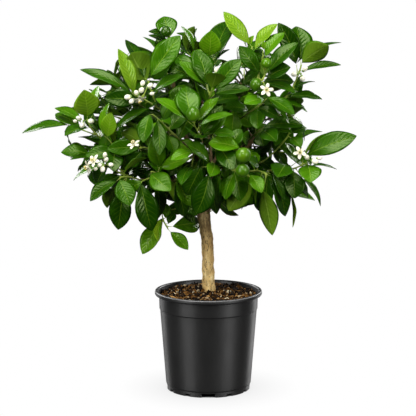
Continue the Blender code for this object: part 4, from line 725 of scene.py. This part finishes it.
# The low tones run to near black: painted shade for leaves in the shade of the crown.
upper = wires.ramp(shade, [
    (0.0, (0.003, 0.018, 0.0003)), (0.3, (0.009, 0.048, 0.0005)), (0.5, (0.031, 0.122, 0.001)),
    (0.68, (0.08, 0.235, 0.002)), (0.85, (0.15, 0.33, 0.006)), (1.0, (0.215, 0.375, 0.018))])
lower = wires.ramp(
    shade, [(0.2, (0.045, 0.11, 0.003)), (0.6, (0.11, 0.225, 0.006)), (0.95, (0.32, 0.53, 0.012))])
# The rib is broad at the foot and thins to the tip, and the side veins leave it at a slant and bend along.
rib_edge = wires.math("MULTIPLY_ADD", along, -0.04, 0.07)
rib_line = wires.spread(wires.math("DIVIDE", away, rib_edge), 1.0, 0.45)
vein_phase = wires.math("MULTIPLY_ADD", along, 9.0, wires.times(away, -2.3))
vein_wave = wires.math("PINGPONG", vein_phase, 0.5)
vein_line = wires.times(wires.spread(vein_wave, 0.41, 0.5), wires.spread(away, 0.95, 0.4))
paler = wires.blend(0.6, upper, (0.30, 0.50, 0.03, 1))
# On young leaves shade is painted between the veins, where the blade is quilted.
painted_quilt_shade = wires.times(wires.spread(vein_wave, 0.34, 0.08), wires.spread(away, 0.98, 0.6))
painted_quilt_shade = wires.times(painted_quilt_shade, wires.spread(shade, 0.55, 0.75, 0.0, 0.42))
upper = wires.blend(painted_quilt_shade, upper, (0.045, 0.17, 0.002, 1))
upper = wires.blend(wires.times(vein_line, 0.24), upper, paler)
upper = wires.blend(wires.times(rib_line, wires.spread(shade, 0.25, 0.8, 0.42, 0.85)), upper, paler)
lower_lines = wires.times(wires.math("MAXIMUM", rib_line, wires.times(vein_line, 0.3)), 0.7)
lower = wires.blend(lower_lines, lower, (0.27, 0.42, 0.05, 1))
leaf_colour = wires.blend(beneath, upper, lower)
wires.join(leaf_colour)
dull = wires.plus(wires.spread(beneath, 0.3, 0.7, 0.2, 0.6), wires.spread(mottle, 0.3, 0.7, -0.04, 0.07))
wires.join(dull, "Roughness")
quilt = wires.times(vein_wave, wires.spread(away, 1.0, 0.5))
leaf_relief = wires.plus(wires.times(quilt, -1.2), wires.times(rib_line, -0.8))
wires.bump(wires.plus(leaf_relief, wires.times(wires.noise(500, 2), 0.12)), 0.00042)
# A leaf lets a little light through.
light_colour = wires.blend(0.35, leaf_colour, (0.30, 0.60, 0.01, 1))
through = wires.node("ShaderNodeBsdfTranslucent", {"Color": light_colour})
both = wires.node("ShaderNodeMixShader", {0: 0.12, 1: wires.shader.outputs[0], 2: through})
wires.tree.links.new(both, wires.tree.nodes["Material Output"].inputs["Surface"])

green_stem, wires = finish("green stem", (0.2, 0.34, 0.03), 0.5, Specular_IOR_Level=0.3)
young = wires.ramp(wires.noise(60, 3), [(0.35, (0.2, 0.3, 0.03)), (0.65, (0.36, 0.46, 0.07))])
# Inside the crown the stems are painted dark brown: painted shade.
wires.join(wires.blend(wires.attribute("young"), (0.05, 0.05, 0.014, 1), young))
wires.bump(wires.noise(400, 3), 0.0003)


def subdivided(points, faces):
    """A mesh smoothed by two rounds of subdivision, without the points that no face uses."""
    used, index = np.unique(faces, return_inverse=True)
    return shaped(points[used], index.reshape(faces.shape), "SUBSURF", levels=2, render_levels=2)


def assembled(name, parts, *materials):
    """One piece from parts, each a skin and the number of its material."""
    starts = np.cumsum([0] + [len(points) for (points, _), _ in parts])
    piece = grid_mesh(
        name, np.concatenate([points for (points, _), _ in parts]),
        [block + start for ((_, blocks), _), start in zip(parts, starts) for block in blocks], *materials)
    index = np.concatenate([np.full(sum(map(len, blocks)), number) for (_, blocks), number in parts])
    piece.data.polygons.foreach_set("material_index", index.astype(np.int32))
    return piece


def leafy(name, stems, leaves, tones, draw, *detail):
    """The skin of stems and new blades as one piece, with the numbers that its two materials read. Stems are
    painted dark inside the crown, as painted shade, and young and green where they leave it."""
    *skin, grid = blades(leaves, tones, draw, *detail)
    piece = assembled(name, [(stems, 0), (skin, 1)], green_stem, glossy_leaf)
    from_middle = norm((stems[0] - CROWN_AT) * (0.85, 1.0, 1.1), axis=1)
    young = np.clip((from_middle - STEM_SHADE_REACH) / STEM_SHADE_FADE, 0, 1)
    values = {
        key: np.append(0 * young, numbers)
        for key, numbers in zip(("across", "along", "under", "tone"), grid.T)}
    set_values(piece, **values, young=np.append(young, np.zeros(len(grid))))
    return piece


shoots = sorted(row["node"] for row in frame["record"]["subparts"] if row["material_slot"] == "leaf")
all_leaves, perches, perch_ways = [], [], []
for number, name in enumerate(shoots):
    points, faces = welded(name)
    leaves, stem_faces = read_leaves(points, faces)
    leaves = [as_seen(leaf) for leaf in leaves]
    stems = subdivided(points, stem_faces)
    draw = np.random.default_rng(100 + number)
    settle(leafy(f"spray_{name}", stems, leaves, leaf_tones(leaves, draw), draw), "leaf", name)
    all_leaves += leaves
    perches.append(stems[0])
    perch_ways.append(outward(*stems))


# The fruit: small green calamondins with a glossy, finely pitted peel, each filling the ball that the frame
# gives it. Each has the way to its stalk, and how deep it hangs in the dark of the crown, from 0 to 1, by
# which its
# peel is painted darker: painted shade.
FRUITS = {
    "fruit_centre": ((0.1, 0.1, -1.0), 0.1), "fruit_crown": ((0.5, 0.4, -0.8), 0.85),
    "fruit_upper_right": ((0.4, 0.7, 0.3), 0.35), "fruit_right": ((-0.2, 0.8, 0.5), 0.1),
    "fruit_low_right": ((0.5, 0.8, -0.4), 0.3), "fruit_top_right": ((-0.3, 0.4, -0.9), 0.0),
}
FRUIT_ROWS, FRUIT_COLUMNS = 26, 40


def two_across(axis):
    """Two unit directions square to an axis and to each other."""
    one = unit(np.cross(axis, (0.3, 0.9, 0.2) if abs(axis[1]) < 0.8 else (0.9, 0.1, 0.3)))
    return one, np.cross(axis, one)


def circle(axis, columns, shift=0):
    """Unit vectors all round an axis, each shifted by a share of a column."""
    one, other = two_across(axis)
    turn = turns(columns, shift)
    return np.cos(turn)[:, None] * one + np.sin(turn)[:, None] * other


def turned_body(centre, axis, radii, heights, columns):
    """The rings of a body turned about an axis: row by row a radius at a height."""
    radii, heights = radii[:, None, None], heights[:, None, None]
    return (centre + radii * circle(axis, columns) + heights * axis)[None]


def latitudes(rows):
    return np.linspace(-math.pi / 2, math.pi / 2, rows + 2)[1:-1]


green_peel, wires = finish(
    "green peel", (0.052, 0.165, 0.002), 0.3, Specular_IOR_Level=0.4, Specular_Tint=(0.85, 1.0, 0.35, 1),
    Coat_Weight=0.45, Coat_Roughness=0.13)
ripe = wires.ramp(wires.noise(45, 3), [
    (0.3, (0.036, 0.13, 0.001)), (0.5, (0.06, 0.18, 0.002)), (0.72, (0.115, 0.25, 0.003))])
# The deeper a fruit hangs in the crown, the darker its peel is painted: painted shade.
wires.join(wires.blend(wires.attribute("depth"), ripe, (0.008, 0.045, 0.0004, 1)))
pits = wires.node("ShaderNodeTexVoronoi", {"Vector": wires.place(), "Scale": 900.0}, output="Distance")
wires.bump(wires.spread(pits, 0.0, 0.45), 0.00035)

for name, (stalk_way, depth) in FRUITS.items():
    points, _ = welded(name)
    axis = unit(stalk_way)
    reach = (points - points.mean(0)) @ axis
    centre = points.mean(0) + axis * (reach.max() + reach.min()) / 2
    tall = (reach.max() - reach.min()) / 2
    wide = norm(np.cross(points - centre, axis), axis=1).max()
    lat = latitudes(FRUIT_ROWS)
    # The stalk's end is a little flattened.
    heights = tall * np.sin(lat) * np.where(lat > 0, 1 - 0.05 * np.sin(lat) ** 8, 1)
    rings = turned_body(centre, axis, wide * np.cos(lat) ** 0.96, heights, FRUIT_COLUMNS)
    body, faces = closed_skin(rings, (centre - axis * tall)[None], (centre + axis * tall * 0.95)[None])
    body += (body - centre) * 0.012 * lumps(body * 1000, 14.0, 51)[:, None]
    fruit = grid_mesh(f"peel_{name[6:]}", body, faces, green_peel)
    set_values(fruit, depth=np.full(len(body), depth))
    settle(fruit, "fruit_peel", name)


# The blossom: clusters of oblong white buds and five-petalled waxy flowers on short green stalks, each flower
# with a ring of white stamens tipped yellow round a green pistil. Places and sizes come from the clusters in
# the frame, where a bud's ring and a flower's heart are told by how wide and tall they are.
PETAL_ROWS, PETAL_COLUMNS, PETAL_WIDTH = 9, 5, 0.0078
STAMENS = 14
BUD_OVER, BUD_FOOT_UNDER = 0.005, 0.0024
HEART_WIDE, HEART_TALL = (0.0046, 0.0056), (0.0034, 0.0044)
PETAL_OVER, PETAL_REACH = 0.004, 0.009
CUP, PETAL, ANTHER = 0, 1, 2

green_cup, cup_wires = finish("green cup", (0.2, 0.33, 0.06), 0.5)
yellow_anther, anther_wires = finish("yellow anther", (0.85, 0.52, 0.06), 0.6)
waxy_petal, petal_wires = finish("waxy petal", (0.9, 0.89, 0.8), 0.45)
petal_wires.bump(petal_wires.noise(420, 2, (1, 1, 0.3)), 0.0003)
for wires, scale, low, high in (
        (cup_wires, 200.0, (0.14, 0.26, 0.04), (0.28, 0.42, 0.09)),
        (anther_wires, 600.0, (0.8, 0.55, 0.08), (0.93, 0.74, 0.25)),
        (petal_wires, 120.0, (0.86, 0.82, 0.58), (0.97, 0.94, 0.80))):
    wires.join(wires.ramp(wires.noise(scale, 2), [(0.3, low), (0.7, high)]))


def rods(starts, ends, radius, sides=6):
    """Plain round rods between pairs of points, a little thinner at their ends."""
    rings = []
    for a, b in zip(starts, ends):
        edge = radius * circle(unit(b - a), sides)
        rings.append([a + edge, a + (b - a) * 0.5 + edge * 0.9, b + edge * 0.8])
    return closed_skin(np.array(rings), np.array(starts), np.array(ends))


def balls(centres, axes, wide, tall, rows=5, columns=8):
    """Small egg-shaped bodies about their axes."""
    lat = latitudes(rows)
    rings = np.concatenate([
        turned_body(c, a, w * np.cos(lat), t * np.sin(lat), columns)
        for c, a, w, t in zip(centres, axes, wide, tall)])
    reach = np.array(axes) * np.array(tall)[:, None]
    return closed_skin(rings, np.array(centres) - reach, np.array(centres) + reach)


def petals(roots, tips, ups, width):
    """Strap-shaped petals, hollowed along and bent back at the tip."""
    length, along = norm(tips - roots, axis=1)[:, None, None], unit(tips - roots)
    side = unit(np.cross(ups, along))
    normal = np.cross(along, side)
    v = np.linspace(0, 1, PETAL_ROWS + 2)[1:-1][:, None]
    u, under = round_about(PETAL_COLUMNS)
    half = 0.5 * width * np.sin(math.pi * v**0.85) ** 0.55 * (0.62 + 0.38 * v)
    rise = length * (0.30 * v * (1 - v) - 0.10 * v**3) + 0.18 * half * u**2 - 0.0006 * under
    return flat_skin(
        roots, tips, normal, side, v, half * u, rise, (roots, tips - normal * length[:, 0] * 0.10))


def read_cluster(points, faces):
    """What a cluster's solid holds: buds as foot, tip and width, flowers as heart and tip, petals as root and
    tip, and the faces of the stalks that are left."""
    joined = joined_points(points, faces)
    corners = joined.sum(1)
    gone = np.zeros(len(points), bool)
    buds, flowers, flower_petals = [], [], []
    for tip in np.flatnonzero(corners == 5):
        loops, middles, widths = loops_from(points, joined, tip, 5, 3)
        wide, tall = widths[0], norm(points[tip] - middles[0])
        if len(loops) > 1 and wide > BUD_OVER and widths[1] < BUD_FOOT_UNDER:
            buds.append((middles[1], points[tip], wide / 1.9))
            gone[[tip, *loops[0], *loops[1]]] = True
        elif HEART_WIDE[0] < wide < HEART_WIDE[1] and HEART_TALL[0] < tall < HEART_TALL[1]:
            flowers.append((middles[0], points[tip]))
    for tip in np.flatnonzero((corners == 3) & ~gone):
        loops, middles, widths = loops_from(points, joined, tip, 3, 2)
        if len(loops) == 2 and widths[0] > PETAL_OVER > widths[1]:
            flower_petals.append((middles[1], points[tip]))
            gone[[tip, *loops[0]]] = True
    return buds, flowers, flower_petals, faces[~gone[faces].any(1)]


def closed_up(faces):
    """Faces with each small hole among them filled by a fan, so that the skin is whole."""
    edges = {(a, b) for f in faces.tolist() for a, b in zip(f, f[1:] + f[:1])}
    after = {b: a for a, b in edges if (b, a) not in edges}
    fans = []
    while after:
        start, at = after.popitem()
        rim = [start]
        while at != start:
            rim.append(at)
            at = after.pop(at)
        fans += [(rim[0], rim[k], rim[k + 1]) for k in range(1, len(rim) - 1)]
    return np.concatenate([faces, np.array(fans).reshape(-1, 3)])


for number, name in enumerate(sorted(n for n in frame["nodes"] if n.startswith("blossom"))):
    draw = np.random.default_rng(300 + number)
    points, faces = welded(name)
    buds, flowers, flower_petals, stalk_faces = read_cluster(points, faces)
    parts = [(subdivided(points, closed_up(stalk_faces)), CUP)]
    if buds:
        foot, tip, wide = parted(buds)
        length, axes = norm(tip - foot, axis=1), unit(tip - foot)
        parts += [
            (balls((foot + tip) / 2, axes, wide * 0.86, length / 2 * 0.94, 9, 14), PETAL),
            (balls(foot + axes * 0.0008, axes, wide * 0.55, wide * 0.5, 4, 10), CUP)]
    for centre, tip in flowers:
        axis = unit(tip - centre)
        own = [p for p in flower_petals if norm(p[0] - centre) < PETAL_REACH]
        if own:
            roots, ends = parted(own)
            roots = centre + (roots - centre) * 0.7
            parts.append((petals(roots, ends, [axis] * len(own), PETAL_WIDTH), PETAL))
        # The stamens lean out a little, each with a yellow anther, round the ovary, style and stigma.
        ring = circle(axis, STAMENS, draw.uniform(-0.2, 0.2, STAMENS))
        lean, rise = draw.uniform(0.0022, 0.0034, STAMENS), draw.uniform(0.0058, 0.0078, STAMENS)
        ends = centre + ring * lean[:, None] + axis * rise[:, None]
        hearts = [centre + axis * 0.0018, centre + axis * 0.0072]
        parts += [
            (rods(centre + ring * 0.0016, ends, 0.0004, 5), PETAL),
            (balls(ends, unit(ring * 0.3 + axis), [0.0006] * STAMENS, [0.0009] * STAMENS, 3, 6), ANTHER),
            (balls(hearts, [axis] * 2, [0.0017, 0.0011], [0.0028, 0.0009], 5, 10), CUP),
            (rods([centre + axis * 0.003], [centre + axis * 0.007], 0.0006), CUP)]
    settle(assembled(f"bloom_{name[8:]}", parts, green_cup, waxy_petal, yellow_anther), "petal", name)


# The deep leaves: smaller leaves, painted dark as painted shade within the crown, grow from the wood and
# stems between the shoots, and close the crown from every side. Many are tried by chance, and those stay that
# have room and hide nothing in front.
DEEP_TRIES, DEEP_MOST = 16000, 260
DEEP_SHORTEST, DEEP_LONGEST, DEEP_WIDTH = 0.040, 0.068, 0.46
DEEP_ROWS, DEEP_COLUMNS = 9, 5
DEEP_GAP = 0.021
HIGH_WOOD, LOWEST_TIP, LOWEST_MIDDLE = 0.31, 0.30, 0.32
SAME_WAY, TIPS_BEYOND = 0.94, 4
# The top of the trunk stays in sight: its half width and its height as the eye sees it, in mm.
TRUNK_HALF, TRUNK_UNDER = 26, 350


def stands_before(places, others, gap):
    """Whether each place hides one of the others from the eye, within a gap in mm as the eye sees them."""
    close = apart(seen_from_eye(places), seen_from_eye(others)) < gap
    return (close & (others[None, :, 1] > places[:, None, 1] - 0.004)).any(1)


high_wood = wood_points[:, 2] > HIGH_WOOD
perches = np.concatenate([*perches, wood_points[high_wood]])
perch_ways = np.concatenate([*perch_ways, outward(wood_points, wood_blocks)[high_wood]])

draw = np.random.default_rng(77)
pick = draw.integers(0, len(perches), DEEP_TRIES)
perch, perch_way = perches[pick], perch_ways[pick]
out = perch - CROWN_AT
out /= np.maximum(norm(out, axis=1), 0.02)[:, None]
way = unit(0.5 * out + 0.55 * draw.normal(size=(DEEP_TRIES, 3)) + np.array([0, 0, 0.1]))
reach = draw.uniform(DEEP_SHORTEST, DEEP_LONGEST, DEEP_TRIES)[:, None]
deep_foot = perch + way * draw.uniform(0.006, 0.012, DEEP_TRIES)[:, None]
deep_tip = deep_foot + way * reach
deep_mid = (deep_foot + deep_tip) / 2
facing = 0.45 * out + np.array([0, -0.1, 0.5]) + 0.35 * draw.normal(size=(DEEP_TRIES, 3))
facing = unit(facing - way * (facing * way).sum(1)[:, None])

near_at = np.array([
    np.mean(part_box(node), axis=0) for node in frame["nodes"] if node.startswith(("fruit", "blossom"))])
leaf_foot, leaf_tip, *_ = parted(all_leaves)
leaf_mid = (leaf_foot + leaf_tip) / 2

# A deep leaf grows outwards from its perch, and a few tips stand beyond it in much the same way.
away, tips_away = deep_tip - CROWN_AT, leaf_tip - CROWN_AT
far, tips_far = norm(away, axis=1)[:, None], norm(tips_away, axis=1)
beyond = (away @ tips_away.T / far / tips_far > SAME_WAY) & (tips_far[None] > far + 0.004)
fits = ((perch_way * way).sum(1) > 0.3) & (beyond.sum(1) >= TIPS_BEYOND)
for places, others, gap in (
        (deep_mid, leaf_mid, 0.017), (deep_tip, leaf_mid, 0.012), (deep_mid, near_at, 0.034),
        (deep_tip, near_at, 0.026)):
    fits &= apart(places, others).min(1) > gap
front = leaf_tip[:, 1] < FRONT_UNTIL
shown = np.concatenate([
    leaf_tip[front] * share + leaf_foot[front] * (1 - share) for share in (0.25, 0.5, 0.75)])
for place in (deep_foot, deep_mid, deep_tip):
    fits &= ~stands_before(place, shown, 15.0) & ~stands_before(place, near_at, 24.0)
seen_x, seen_z = seen_from_eye(deep_mid).T
fits &= ~((np.abs(seen_x) < TRUNK_HALF) & (seen_z < TRUNK_UNDER) & (deep_mid[:, 1] < MIDDLE_UNTIL))
fits &= (deep_tip[:, 2] > LOWEST_TIP) & (deep_mid[:, 2] > LOWEST_MIDDLE)
chosen = []
for k in np.flatnonzero(fits):
    if not chosen or norm(deep_mid[chosen] - deep_mid[k], axis=1).min() > DEEP_GAP:
        chosen.append(k)
    if len(chosen) == DEEP_MOST:
        break
deep = [(deep_foot[k], deep_tip[k], facing[k], reach[k, 0] * DEEP_WIDTH) for k in chosen]
stalks = rods(perch[chosen] - way[chosen] * 0.0012, deep_foot[chosen], 0.0009, 5)
# The deep leaves get dark tones: painted shade deep in the crown.
tones = draw.uniform(0.12, 0.42, len(deep))
settle(leafy("deep_leaves", stalks, deep, tones, draw, DEEP_ROWS, DEEP_COLUMNS), "leaf")
